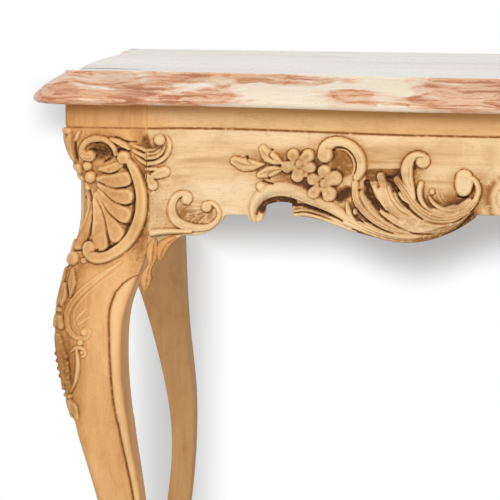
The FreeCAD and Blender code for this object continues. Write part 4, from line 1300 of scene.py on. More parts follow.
@dataclass
class Leg:
    """Leg wrapped over the frame's leg, with rows up the leg and columns round it.

    Each level has its height and the spacing of the rows above it. The columns are counted on the outer
    side, the front, the inner side and the back.
    """

    node: str
    twin: str
    levels: tuple[Pair, ...]
    columns: tuple[int, int, int, int]
    smooth_to: float
    crease: float = 62.0
    even: float = 4.0 * MM
    ease: float = 0.35 * MM
    inset: float = 0.2 * MM
    blend_run: float = 4 * MM

    def __post_init__(self) -> None:
        """Reads the edges and the surface of the frame's leg."""
        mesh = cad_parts[self.node].data
        points = np.array([v.co for v in mesh.vertices])
        self.edges = points[np.array([e.vertices[:] for e in mesh.edges])]
        self.tree = node_tree(self.node)

    def heights(self) -> Array:
        """Levels of the rows."""
        rows = [np.arange(a[0], b[0], a[1]) for a, b in zip(self.levels, self.levels[1:])]
        return np.concatenate(rows + [np.array((self.levels[-1][0],))])

    def corners(self, z: float) -> list[Array]:
        """Corners of the section at one level, where a bevelled corner counts twice.

        Args:
            z: Level.

        Returns:
            Outer back, outer front, inner front and inner back corner, each with the end of one face
            and the start of the next.
        """
        crossed = self.edges[(self.edges[:, 0, 2] - z) * (self.edges[:, 1, 2] - z) < 0]
        share = (z - crossed[:, 0, 2]) / (crossed[:, 1, 2] - crossed[:, 0, 2])
        plan = (crossed[:, 0] + (crossed[:, 1] - crossed[:, 0]) * share[:, None])[:, :2]
        found = []
        for way in ((-1, 1), (-1, -1), (1, -1), (1, 1)):
            far = plan @ np.array(way)
            near = plan[far > far.max() - 2 * self.inset]
            along = near @ np.array((-way[1], way[0]))
            found.append(near[[along.argmin(), along.argmax()]])
        return found

    def face(self, start: Array, end: Array, count: int) -> Array:
        """Even points along one face, a little short of both its corners.

        Args:
            start: First corner.
            end: Second corner.
            count: Number of points.

        Returns:
            Points in plan.
        """
        length = max(np.linalg.norm(end - start), 4 * self.ease)
        share = np.linspace(self.ease / length, 1 - self.ease / length, count)[:, None]
        return start + (end - start) * share

    def ring(self, z: float) -> Array:
        """Plan of the leg at one level.

        Args:
            z: Level.

        Returns:
            Points round the leg.
        """
        corners = self.corners(z)
        turns = zip(self.columns, corners, corners[1:] + corners[:1])
        return np.concatenate([self.face(a[1], b[0], count) for count, a, b in turns])

    def wrap(self) -> Array:
        """Samples the leg of the frame.

        Returns:
            Rings of points from the floor up.
        """
        low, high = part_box(self.node)
        heights = self.heights()
        rows = []
        for height in heights:
            plan = self.ring(min(max(height, low.z + self.inset), high.z - self.inset))
            rows.append(np.concatenate((plan, np.full((len(plan), 1), height)), 1))
        return self.even_out(np.array(rows), heights)

    def even_out(self, rings: Array, heights: Array) -> Array:
        """Takes the facets out of the sampled surface below the block.

        Args:
            rings: Sampled rings.
            heights: Their levels.

        Returns:
            Smoothed rings.
        """
        part = heights < self.smooth_to
        step = np.median(np.diff(heights[part]))
        softer = soften(rings[part], self.even / step, 0)
        softer[..., 2] = heights[part][:, None]
        blend = np.clip((self.smooth_to - heights[part]) / self.blend_run, 0, 1)[:, None, None]
        rings = rings.copy()
        rings[part] = softer * blend + rings[part] * (1 - blend)
        return rings

    def normals(self, rings: Array) -> Array:
        """Outward directions of the surface.

        Args:
            rings: Rings of points.

        Returns:
            Unit vectors.
        """
        up = np.gradient(rings, axis=0)
        wide = np.concatenate((rings[:, -2:], rings, rings[:, :2]), axis=1)
        around = np.gradient(wide, axis=1)[:, 2:-2]
        found = np.cross(around, up)
        found = soften(found / np.maximum(np.linalg.norm(found, axis=2), 1e-12)[..., None], 2.0, 0)
        return found / np.linalg.norm(found, axis=2)[..., None]

    def make(self, material: Material, relief: ReliefField) -> None:
        """Builds both legs of the pair.

        Args:
            material: Wood.
            relief: Carving of the front.
        """
        rings, recess, worn = self.carved(self.wrap(), relief)
        left = tube_object(self.node.replace("leg", "carved_leg"), rings, self.crease)
        set_values(left, "recess", recess)
        set_values(left, "worn", worn)
        right = mirror_object(left, self.twin.replace("leg", "carved_leg"))
        dress(left, material, self.node)
        dress(right, material, self.twin)

    def carved(self, rings: Array, relief: ReliefField) -> tuple[Array, Array, Array]:
        """Adds the carving; a plain leg has none."""
        plain = np.zeros(rings.shape[:2])
        return rings, plain, plain


@dataclass
class FrontLeg(Leg):
    """Front leg, carved alike on its front and its outer side."""

    corner: Pair = (-550 * MM, -182.5 * MM)
    band_low: float = 797 * MM
    groove_half: float = 1.3 * MM
    groove_depth: float = 1.4
    bead_levels: tuple[float, ...] = (0, 378, 412, 446, 480, 525, 560, 594, 612, 622, 629, 632)
    bead_widths: tuple[float, ...] = (9, 9, 10, 11.5, 12.5, 12, 13, 17, 17, 13, 6, 0)
    bead_depth: float = 2.4
    bead_groove: float = 1.6 * MM
    bead_roll: float = 1.1
    lip_roll: float = 1.6
    bead_stain_and_shade: float = 0.62
    bead_highlight: float = 0.75
    band_stain_and_shade: float = 0.55
    band_fade: float = 1.5 * MM
    clear: float = 60 * MM
    overshoot: float = 3 * MM
    nose_run: float = 24 * MM

    def mirrored(self, points: Array) -> Array:
        """Points mirrored in the leg's diagonal.

        Args:
            points: Points, in plan or in space.

        Returns:
            Mirrored points.
        """
        found = points.copy()
        found[..., 0] = self.corner[0] + points[..., 1] - self.corner[1]
        found[..., 1] = self.corner[1] + points[..., 0] - self.corner[0]
        return found

    def ring(self, z: float) -> Array:
        """Plan of the leg at one level: rounded corner, slanting faces, bevelled inside.

        Args:
            z: Level.

        Returns:
            Points round the leg.
        """
        outside = (self.corner[0] - self.clear, self.corner[1] - self.clear, z)
        half = math.sqrt(0.5)
        gap = reach(self.tree, outside, (half, half, 0.0), self.clear) * half
        nose = np.array((outside[0] + gap, outside[1] + gap))
        _, _, lip, back = self.corners(z)
        chord = lip[0] - nose
        chord /= np.linalg.norm(chord)
        inward = np.array((-chord[1], chord[0]))
        front = []
        for point in self.face(nose, lip[0], self.columns[1]):
            start = point - inward * self.clear
            distance = reach(self.tree, (*start, z), (*inward, 0.0), self.clear)
            front.append(start + inward * min(distance, self.clear + self.overshoot))
        front[0] = nose
        front = np.array(front)
        side = self.mirrored(front[:0:-1])
        inner = self.face(lip[1], back[0], self.columns[2])
        rear = self.face(back[1], self.mirrored(lip[0]), self.columns[3])
        return np.concatenate((side, front, inner, rear))

    def carved(self, rings: Array, relief: ReliefField) -> tuple[Array, Array, Array]:
        """Carves the two outer faces.

        Args:
            rings: Plain surface.
            relief: Carving of the front.

        Returns:
            Rings, hollows with their stain and painted shade, and worn edges with their painted highlights.
        """
        edge = self.columns[0] + self.columns[1]
        normals = self.normals(rings)
        normals[:, edge - 2:edge] = normals[:, edge - 3:edge - 2]
        normals[:, :2] = normals[:, 2:3]
        on_front = rings[..., 1] - self.corner[1] < rings[..., 0] - self.corner[0]
        seen = np.where(on_front[..., None], rings, self.mirrored(rings))
        pixels = VIEW.pixels(seen)
        z = rings[..., 2]
        faces = (np.arange(rings.shape[1]) < edge).astype(float)[None, :]
        nose = np.linalg.norm(rings - rings[:, self.columns[0]:self.columns[0] + 1], axis=2)
        weight = faces * np.clip((self.band_low - z) / self.band_fade, 0, 1)
        set_back = np.where(on_front, np.clip(1 - nose / self.nose_run, 0, 1), 1.0)
        lift = (relief.read(relief.height, pixels) - set_back * relief.read(relief.cover, pixels)) * weight
        recess = relief.read(relief.recess, pixels) * weight
        worn = relief.read(relief.worn, pixels) * weight
        gap = np.where(
            on_front, np.linalg.norm(rings - rings[:, edge - 1:edge], axis=2),
            np.linalg.norm(rings - rings[:, :1], axis=2))
        line = np.interp(z / MM, self.bead_levels, self.bead_widths) * MM
        groove = np.exp(-((gap - line) / self.bead_groove) ** 2) * (line > 0)
        across = np.clip(1 - gap / np.maximum(line, 1e-6), 0, 1)
        roll = np.where(across > 0, (2 * across - 1) ** 2, 0.0) + self.lip_roll * across ** 3
        lift -= (groove * self.bead_depth + roll * self.bead_roll * (line > 0)) * weight
        band = np.exp(-((z - self.band_low) / self.groove_half) ** 2) * faces
        lift -= band * self.groove_depth
        # The bead groove and the band groove darken: stain and painted shade in the grooves.
        recess = np.maximum(np.maximum(recess, self.bead_stain_and_shade * groove * weight), self.band_stain_and_shade * band)
        # Painted highlight along the crest of the bead.
        worn = np.maximum(worn, self.bead_highlight * np.sin(math.pi * across) * weight)
        made = rings + normals * (lift * MM)[..., None]
        made[..., 2] = np.clip(made[..., 2], 0.0, None)
        return made, recess, worn


# Front boards


@dataclass
class FrontBoards:
    """Rail and apron of the front, drawn as columns along the serpentine."""

    half_span: float = 456 * MM
    rail_step: float = 0.92 * MM
    apron_step: float = 0.70 * MM
    glue_line: float = 759 * MM
    groove: float = 797 * MM
    groove_half: float = 1.4 * MM
    groove_depth: float = 1.6
    edge_round: float = 4.0
    belly_round: float = 7.0
    belly: Pair = (84 * MM, 226 * MM)
    belly_run: float = 20 * MM
    round_share: float = 0.8
    joint_ease: float = 0.4
    end_clear: float = 0.5 * MM
    probe_far: float = 1.0
    probe_miss: float = 0.8
    probe_drop: float = 10 * MM
    probe_in: float = 12 * MM
    probe_low: float = 0.3
    probe_rise: float = 0.4
    fade: float = 1.5 * MM
    groove_stain_and_shade: float = 0.75
    front_even: float = 6.0
    edge_even: float = 0.8
    crease: float = 50.0
    rail_rows: int = 62
    apron_rows: int = 136

    def front(self, places: Array) -> Array:
        """Front surface of the rail.

        Args:
            places: Places along X.

        Returns:
            Y of the surface at each.
        """
        tree = node_tree("front_rail")
        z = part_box("front_rail")[1].z - self.probe_drop
        limit = self.half_span - self.end_clear
        found = np.array([
            reach(tree, (x, -self.probe_far, z), (0, 1, 0), self.probe_miss) - self.probe_far
            for x in np.clip(places, -limit, limit)])
        return soften(found, self.front_even, 0)

    def lower_edge(self, places: Array, front: Array) -> Array:
        """Lower edge of the apron.

        Args:
            places: Places along X.
            front: Y of the front.

        Returns:
            Z of the edge at each.
        """
        tree = node_tree("front_apron")
        limit = self.half_span - self.end_clear
        found = np.array([
            reach(tree, (x, y + self.probe_in, self.probe_low), (0, 0, 1), self.probe_rise) + self.probe_low
            for x, y in zip(np.clip(places, -limit, limit), front)])
        return soften(found, self.edge_even, 0)

    def board(self, name: str, places: Array, front: Array, low: Array, high: float,
              rows: int, relief: ReliefField, material: Material, node: str) -> None:
        """Builds one board.

        Args:
            name: Piece name.
            places: Places of the columns.
            front: Y of the plain front.
            low: Z of the lower edge.
            high: Z of the upper edge.
            rows: Rows of the front face.
            relief: Carving.
            material: Wood.
            node: Node of the frame it stands for.
        """
        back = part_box(node)[1].y
        share = np.linspace(0, 1, rows)
        z = low[:, None] + (high - low)[:, None] * share[None, :]
        x = np.repeat(places[:, None], rows, 1)
        y = np.repeat(front[:, None], rows, 1)
        pixels = VIEW.pixels(np.stack((-np.abs(x), y, z), -1))
        below = np.clip((self.groove - z) / self.fade, 0, 1)
        lift = relief.read(relief.height, pixels) * below
        recess = relief.read(relief.recess, pixels) * below
        worn = relief.read(relief.worn, pixels) * below
        line = np.exp(-((z - self.groove) / self.groove_half) ** 2)
        lift = lift - line * self.groove_depth
        # The groove darkens: stain and painted shade in it.
        recess = np.maximum(recess, self.groove_stain_and_shade * line)
        if low.max() < self.glue_line - self.probe_drop:
            inside = np.minimum(np.abs(places) - self.belly[0], self.belly[1] - np.abs(places))
            turn = self.edge_round + self.belly_round * np.clip(inside / self.belly_run, 0, 1)
            part = np.clip(1 - (z - low[:, None]) / (turn[:, None] * MM), 0, 1)
            lift -= self.round_share * turn[:, None] * (1 - np.sqrt(np.clip(1 - part * part, 0, 1)))
        ends = np.clip(1 - (self.half_span - np.abs(x)) / self.fade, 0, 1)
        lift -= self.joint_ease * ends
        slope = np.gradient(front, places)
        normal = np.stack((slope, -np.ones_like(slope)), -1)
        normal /= np.linalg.norm(normal, axis=1)[:, None]
        moved = np.stack((x + normal[:, :1] * lift * MM, y + normal[:, 1:] * lift * MM, z), -1)
        moved[..., 0] = np.clip(moved[..., 0], places[0], places[-1])
        rear = np.stack((
            np.stack((places, np.full_like(places, back), np.full_like(places, high)), -1),
            np.stack((places, np.full_like(places, back), low), -1)), 1)
        rings = np.concatenate((moved, rear), 1)
        made = tube_object(name, rings, self.crease)
        blank = np.zeros((len(places), 2))
        set_values(made, "recess", np.concatenate((recess, blank), 1))
        set_values(made, "worn", np.concatenate((worn, blank), 1))
        dress(made, material, node)

    def make(self, material: Material, relief: ReliefField) -> None:
        """Builds the rail and the apron.

        Args:
            material: Wood.
            relief: Carving.
        """
        span = self.half_span
        places = np.linspace(-span, span, int(2 * span / self.rail_step))
        glue = np.full_like(places, self.glue_line)
        self.board("carved_front_rail", places, self.front(places), glue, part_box("front_rail")[1].z,
                   self.rail_rows, relief, material, "front_rail")
        whole = np.linspace(-span, span, 2 * int(span / self.apron_step) + 1)
        front = self.front(whole)
        low = self.lower_edge(whole, front)
        middle = len(whole) // 2
        for side, part in (("left", slice(0, middle + 1)), ("right", slice(middle, None))):
            self.board("carved_front_apron_" + side, whole[part], front[part], low[part], self.glue_line,
                       self.apron_rows, relief, material, "front_apron")


@dataclass
class BracketDrop:
    """Leaf and bud that hang from the end of the apron beside the knee.

    Each point of a stem has its place across and up, and its half width, in millimetres.
    """

    stems: dict[str, tuple[tuple[float, float, float], ...]] = field(default_factory=lambda: {
        "leaf": ((-423, 676, 2.0), (-430, 672.4, 5.2), (-436.6, 666, 7.2), (-440, 657, 5.6),
                 (-441.4, 650, 1.8)),
        "bud": ((-446, 674, 2.6), (-448.4, 667, 6.2), (-449.6, 658, 7.4), (-450, 650.6, 6.6),
                (-451.8, 644.0, 3.2), (-454.6, 637.4, 4.2), (-456.4, 629, 7.4), (-457.2, 620.6, 6.2),
                (-457.8, 615.6, 2.2))})
    depth: float = -187.0
    flat: float = 0.85
    ring: int = 28
    step: float = 0.7
    fold_place: float = 0.25
    fold_depth: float = 0.22
    fold_wide: float = 0.2
    # Painted shade on the stems: a little all over, more along the fold and on the back that faces the board.
    crease_shade_wide: float = 0.15
    stem_shading: Triple = (0.10, 0.42, 0.5)
    darkest_shading: float = 0.8

    def stem(self, name: str, points: Array) -> Item:
        """One folded stem.

        Args:
            name: Object name.
            points: Places and half widths along it.

        Returns:
            The stem.
        """
        path, share = smooth_path(tuple(map(tuple, points[:, :2])), self.step)
        widths = np.interp(share, np.linspace(0, 1, len(points)), points[:, 2])
        tangent = np.gradient(path, axis=0)
        tangent /= np.linalg.norm(tangent, axis=1)[:, None]
        angle = np.linspace(0, 2 * math.pi, self.ring, endpoint=False)
        across, out = np.cos(angle), np.sin(angle)
        beside = across - self.fold_place
        fold = np.where(out > 0, 1 - self.fold_depth * np.exp(-(beside / self.fold_wide) ** 2), 1.0)
        # Painted shade along the fold and on the back of the stem.
        least, crease, back = self.stem_shading
        dark = least + crease * np.exp(-(beside / self.crease_shade_wide) ** 2) + back * (1 - out)
        dark = np.clip(dark, 0.0, self.darkest_shading)
        rings = [np.stack((
            place[0] - across * width * way[1], self.depth - out * width * self.flat * fold,
            place[1] + across * width * way[0]), -1) * MM for place, way, width in zip(path, tangent, widths)]
        made = tube_object(name, np.array(rings))
        set_values(made, "recess", np.tile(dark, (len(rings), 1)))
        return made

    def make(self, material: Material) -> None:
        """Builds the drops of both ends.

        Args:
            material: Wood.
        """
        for kind, points in self.stems.items():
            left = self.stem(f"left_bracket_{kind}", np.array(points))
            for made in (left, mirror_object(left, f"right_bracket_{kind}")):
                dress(made, material)


# Repeats


def repeat(name: str, item: Item, points: list, turn_axis: tuple, turn_start: float,
           turn_step: float, material: Material) -> Item:
    """Copies an item to points with a node modifier, turned a step further at each.

    Args:
        name: Name of the finished piece.
        item: Object to copy; it is removed.
        points: Places of the copies.
        turn_axis: Axis of the turn.
        turn_start: Turn of the first copy in radians.
        turn_step: Turn added at each copy in radians.
        material: Finish of the copies.

    Returns:
        Plain mesh object.
    """
    group = bpy.data.node_groups.new(name + "_nodes", "GeometryNodeTree")
    face = group.interface
    face.new_socket("Geometry", in_out="INPUT", socket_type="NodeSocketGeometry")
    face.new_socket("Geometry", in_out="OUTPUT", socket_type="NodeSocketGeometry")
    for label, kind in (("Item", "Object"), ("Axis", "Vector"), ("Start", "Float"), ("Step", "Float"),
                        ("Finish", "Material")):
        face.new_socket(label, in_out="INPUT", socket_type="NodeSocket" + kind)
    nodes = group.nodes
    given, result = nodes.new("NodeGroupInput"), nodes.new("NodeGroupOutput")
    info, index = nodes.new("GeometryNodeObjectInfo"), nodes.new("GeometryNodeInputIndex")
    angle, scaled = nodes.new("ShaderNodeMath"), nodes.new("ShaderNodeVectorMath")
    angle.operation = "MULTIPLY_ADD"
    scaled.operation = "SCALE"
    place, real = nodes.new("GeometryNodeInstanceOnPoints"), nodes.new("GeometryNodeRealizeInstances")
    paint = nodes.new("GeometryNodeSetMaterial")
    wires = (
        (given.outputs["Item"], info.inputs["Object"]),
        (index.outputs[0], angle.inputs[0]),
        (given.outputs["Step"], angle.inputs[1]),
        (given.outputs["Start"], angle.inputs[2]),
        (given.outputs["Axis"], scaled.inputs[0]),
        (angle.outputs[0], scaled.inputs["Scale"]),
        (given.outputs["Geometry"], place.inputs["Points"]),
        (info.outputs["Geometry"], place.inputs["Instance"]),
        (scaled.outputs[0], place.inputs["Rotation"]),
        (place.outputs[0], real.inputs[0]),
        (real.outputs[0], paint.inputs["Geometry"]),
        (given.outputs["Finish"], paint.inputs["Material"]),
        (paint.outputs[0], result.inputs[0]))
    for start, end in wires:
        group.links.new(start, end)
    seeds = bpy.data.meshes.new(name + "_points")
    seeds.from_pydata([tuple(p) for p in points], [], [])
    holder = add_object(name, seeds)
    modifier = holder.modifiers.new("repeat", "NODES")
    modifier.node_group = group
    values = {"Item": item, "Axis": turn_axis, "Start": turn_start, "Step": turn_step, "Finish": material}
    for entry in face.items_tree:
        if entry.item_type == "SOCKET" and entry.in_out == "INPUT" and entry.name in values:
            modifier[entry.identifier] = values[entry.name]
    apply_modifiers(holder).name = name
    bpy.data.objects.remove(item)
    return holder


@dataclass
class CentreShell:
    """Shell in the middle of the front apron, its lobes hanging from a boss."""

    lobes: int = 7
    spread: float = math.pi
    tip_place: float = 58.5 * MM
    tip_radius: float = 13 * MM
    boss_radius: float = 14.5 * MM
    rows: int = 44
    ring: int = 24
    boss_rows: int = 14
    boss_ring: int = 48
    hub_drop: float = 15 * MM

    def lobe(self) -> Item:
        """One dished lobe that points up from the origin.

        Returns:
            The lobe.
        """
        rings = []
        across = -np.cos(np.linspace(0, math.pi, self.ring))
        dished = np.clip(1 - across ** 8, 0, 1) ** 0.5 * (0.60 + 0.40 * across ** 4)
        for along in np.linspace(2 * MM, self.tip_place + self.tip_radius * 0.995, self.rows):
            share = along / self.tip_place
            past = max(0.0, (along - self.tip_place) / self.tip_radius)
            half = self.tip_radius * (0.14 + 0.86 * min(share, 1.0)) * math.sqrt(1 - past ** 2)
            rise = self.tip_radius * (0.45 + 0.5 * min(share, 1.0)) * (1 - past ** 4) ** 0.5
            rings.append(np.stack((across * half, -rise * dished, np.full(self.ring, along)), -1))
        return tube_object("shell_lobe", np.array(rings))

    def make(self, material: Material) -> None:
        """Builds the shell.

        Args:
            material: Wood.
        """
        low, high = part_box("front_shell")
        hub = Vector(((low.x + high.x) / 2, high.y, high.z - self.hub_drop))
        step = self.spread / self.lobes
        start = math.pi - self.spread / 2 + step / 2
        fan = repeat("carved_shell", self.lobe(), [hub] * self.lobes, (0, 1, 0), start, step, material)
        boss = self.hub(hub)
        dress(fan, material, "front_shell")
        dress(boss, material, "front_shell")

    def hub(self, place: Vector) -> Item:
        """Round boss at the root of the lobes.

        Args:
            place: Its middle on the board.

        Returns:
            The boss.
        """
        angle = np.linspace(0, 2 * math.pi, self.boss_ring, endpoint=False)
        rings = []
        for share in np.linspace(0, 1, self.boss_rows):
            turn = share * math.pi / 2 * 0.98
            size = self.boss_radius * math.cos(turn)
            rings.append(np.stack((
                place.x + size * np.cos(angle),
                np.full(self.boss_ring, place.y - self.boss_radius * math.sin(turn)),
                place.z + size * np.sin(angle)), -1))
        return tube_object("carved_shell_boss", np.array(rings))


# Marble


@dataclass
class MarbleSlab:
    """Slab with a thumb moulding round its front and sides."""

    ear_width: float = 134 * MM
    ear_step: float = 8 * MM
    ear_ease: float = 26 * MM
    bow: float = 28 * MM
    front_ear: float = 84 * MM
    rear_ear: float = 112 * MM
    side_step: float = 13 * MM
    side_bulge: float = 11 * MM
    run: float = 36 * MM
    arris: float = 6 * MM
    fillet: float = 2.5 * MM
    fillet_run: float = 1.0 * MM
    nose: float = 6 * MM
    nose_round: float = 5 * MM
    power: float = 0.72
    crease: float = 35.0
    front_points: int = 120
    side_points: int = 60
    straight_points: int = 6
    corner_points: int = 26
    ear_points: int = 5
    ease_points: int = 14
    profile_points: int = 26
    profile_crowd: float = 1.3
    nose_points: int = 7
    bow_shares: Points = (
        (1.0, 0.0), (0.85, 0.02), (0.73, 0.2), (0.6, 0.5), (0.47, 0.84), (0.34, 0.98), (0.2, 1.0), (0.0, 1.0))

    def front_line(self, half: float, end: float, base: float) -> list[Pair]:
        """Left half of the serpentine front, from the ear to the middle.

        Args:
            half: Half span at the nose.
            end: Half span at this level.
            base: Y at the ends.

        Returns:
            Points of the line.
        """
        knots = [(-end if place == 1.0 else -place * half, base - part * self.bow)
                 for place, part in self.bow_shares]
        points, share = smooth_path(tuple(knots), 1.0 * MM)
        even = np.linspace(0, 1, self.front_points)
        return [(np.interp(s, share, points[:, 0]), np.interp(s, share, points[:, 1])) for s in even]

    def outline(self, inset: float) -> Array:
        """Plan of the slab at one level.

        Args:
            inset: How far it is drawn in from the nose.

        Returns:
            Points of the closed outline.
        """
        low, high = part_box("marble_top")
        half = high.x - inset
        base = low.y + self.bow + inset
        ear_y = base - self.ear_step
        end = high.x - self.ear_width + inset
        radius = self.arris + self.run - inset
        dip = half - self.side_step
        start = low.y + self.bow - self.ear_step + self.front_ear - inset
        stop = high.y - self.rear_ear + inset
        left = [(-half, y) for y in np.linspace(high.y, stop, self.straight_points)]
        for share in np.linspace(0, 1, self.side_points):
            left.append((-dip - self.side_bulge * 4 * share * (1 - share), stop + (start - stop) * share))
        left += [(-half, y) for y in np.linspace(start, ear_y + radius, self.straight_points)]
        for angle in np.linspace(0, math.pi / 2, self.corner_points)[1:]:
            left.append((-half + radius * (1 - math.cos(angle)), ear_y + radius * (1 - math.sin(angle))))
        ear = np.linspace(-half + radius, -end - self.ear_ease, self.ear_points)
        left += [(x, ear_y) for x in ear[1:]]
        for share in np.linspace(0, 1, self.ease_points)[1:-1]:
            rise = self.ear_step * share * share * (3 - 2 * share)
            left.append((-end - self.ear_ease * (1 - share), ear_y + rise))
        left += self.front_line(high.x - self.ear_width, end, base)
        right = [(-x, y) for x, y in reversed(left[:-1])]
        return np.array(left + right)

    def levels(self) -> list[Pair]:
        """Inset and height of each level of the edge, from the top down.

        Returns:
            Levels in metres.
        """
        low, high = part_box("marble_top")
        thick = high.z - low.z
        slope = self.run - self.fillet_run
        rise = thick - self.fillet - self.nose
        found = [(self.run + 0.6 * MM, thick), (self.run, thick - 0.5 * MM),
                 (self.run, thick - self.fillet * 0.9), (self.run - 0.3 * MM, thick - self.fillet)]
        for share in np.linspace(1, 0, self.profile_points) ** self.profile_crowd:
            found.append((slope * share, self.nose + rise * share ** self.power))
        drop = self.nose - self.nose_round
        found += [(0.0, self.nose_round + drop * s) for s in (0.66, 0.33)]
        for turn in np.linspace(0, math.pi / 2, self.nose_points):
            found.append((self.nose_round * (1 - math.cos(turn)), self.nose_round * (1 - math.sin(turn))))
        return found

    def make(self, material: Material) -> None:
        """Builds the slab.

        Args:
            material: Marble.
        """
        low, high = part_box("marble_top")
        rings = []
        for inset, height in self.levels():
            plan = np.clip(self.outline(inset), low[:2], high[:2])
            rings.append(np.concatenate((plan, np.full((len(plan), 1), low.z + height)), 1))
        made = tube_object("marble_slab", np.array(rings), self.crease)
        dress(made, material, "marble_top", body=Body.SLAB, slot=Slot.MARBLE)


# Plain joinery


@dataclass
class PlainJoinery:
    """Boards and fastenings that keep the shape of the frame."""

    ease: float = 0.8 * MM
    ease_above: float = 50.0
    crease: float = 35.0
    weld: float = 0.02 * MM

    def eased(self, node: str, material: Material, slot: Slot) -> None:
        """Copies a board of the frame with softened edges.

        Args:
            node: Node of the frame.
            material: Wood.
            slot: Material slot, handed on to dress.
        """
        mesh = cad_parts[node].data.copy()
        tidy = bmesh.new()
        tidy.from_mesh(mesh)
        bmesh.ops.remove_doubles(tidy, verts=tidy.verts, dist=self.weld)
        tidy.to_mesh(mesh)
        tidy.free()
        made = add_object("eased_" + node, mesh)
        bevel = made.modifiers.new("ease", "BEVEL")
        bevel.width = self.ease
        bevel.segments = 2
        bevel.limit_method = "ANGLE"
        bevel.angle_limit = math.radians(self.ease_above)
        plain = apply_modifiers(made)
        plain.shade_smooth()
        plain.set_sharp_from_angle(angle=math.radians(self.crease))
        dress(made, material, node, slot=slot)

    def paint(self, node: str, material: Material, slot: Slot) -> None:
        """Finishes a node of the frame that is shown as it is.

        Args:
            node: Node of the frame.
            material: Finish.
            slot: Material slot; not used.
        """
        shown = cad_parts[node]
        shown.data.materials.clear()
        shown.data.materials.append(material)
        LOG.info("node %s", node)

    def make(self, finishes: Finishes) -> None:
        """Finishes the sides, the hidden boards and the fastenings.

        Args:
            finishes: Materials.
        """
        for side in ("left", "right"):
            self.eased(side + "_side_rail", finishes.side, Slot.CARVED)
            self.eased(side + "_side_apron", finishes.side, Slot.CARVED)
            self.paint(side + "_bearer", finishes.sawn_deep, Slot.INNER)
            for end in ("front_", "back_"):
                self.paint(end + side + "_brace", finishes.sawn_long, Slot.INNER)
        self.eased("back_rail", finishes.sawn_long, Slot.INNER)
        self.paint("apron_dowels", finishes.sawn_long, Slot.INNER)
        self.paint("bearer_screws", finishes.steel, Slot.STEEL)
        self.paint("brace_bolts", finishes.steel, Slot.STEEL)


# Stage


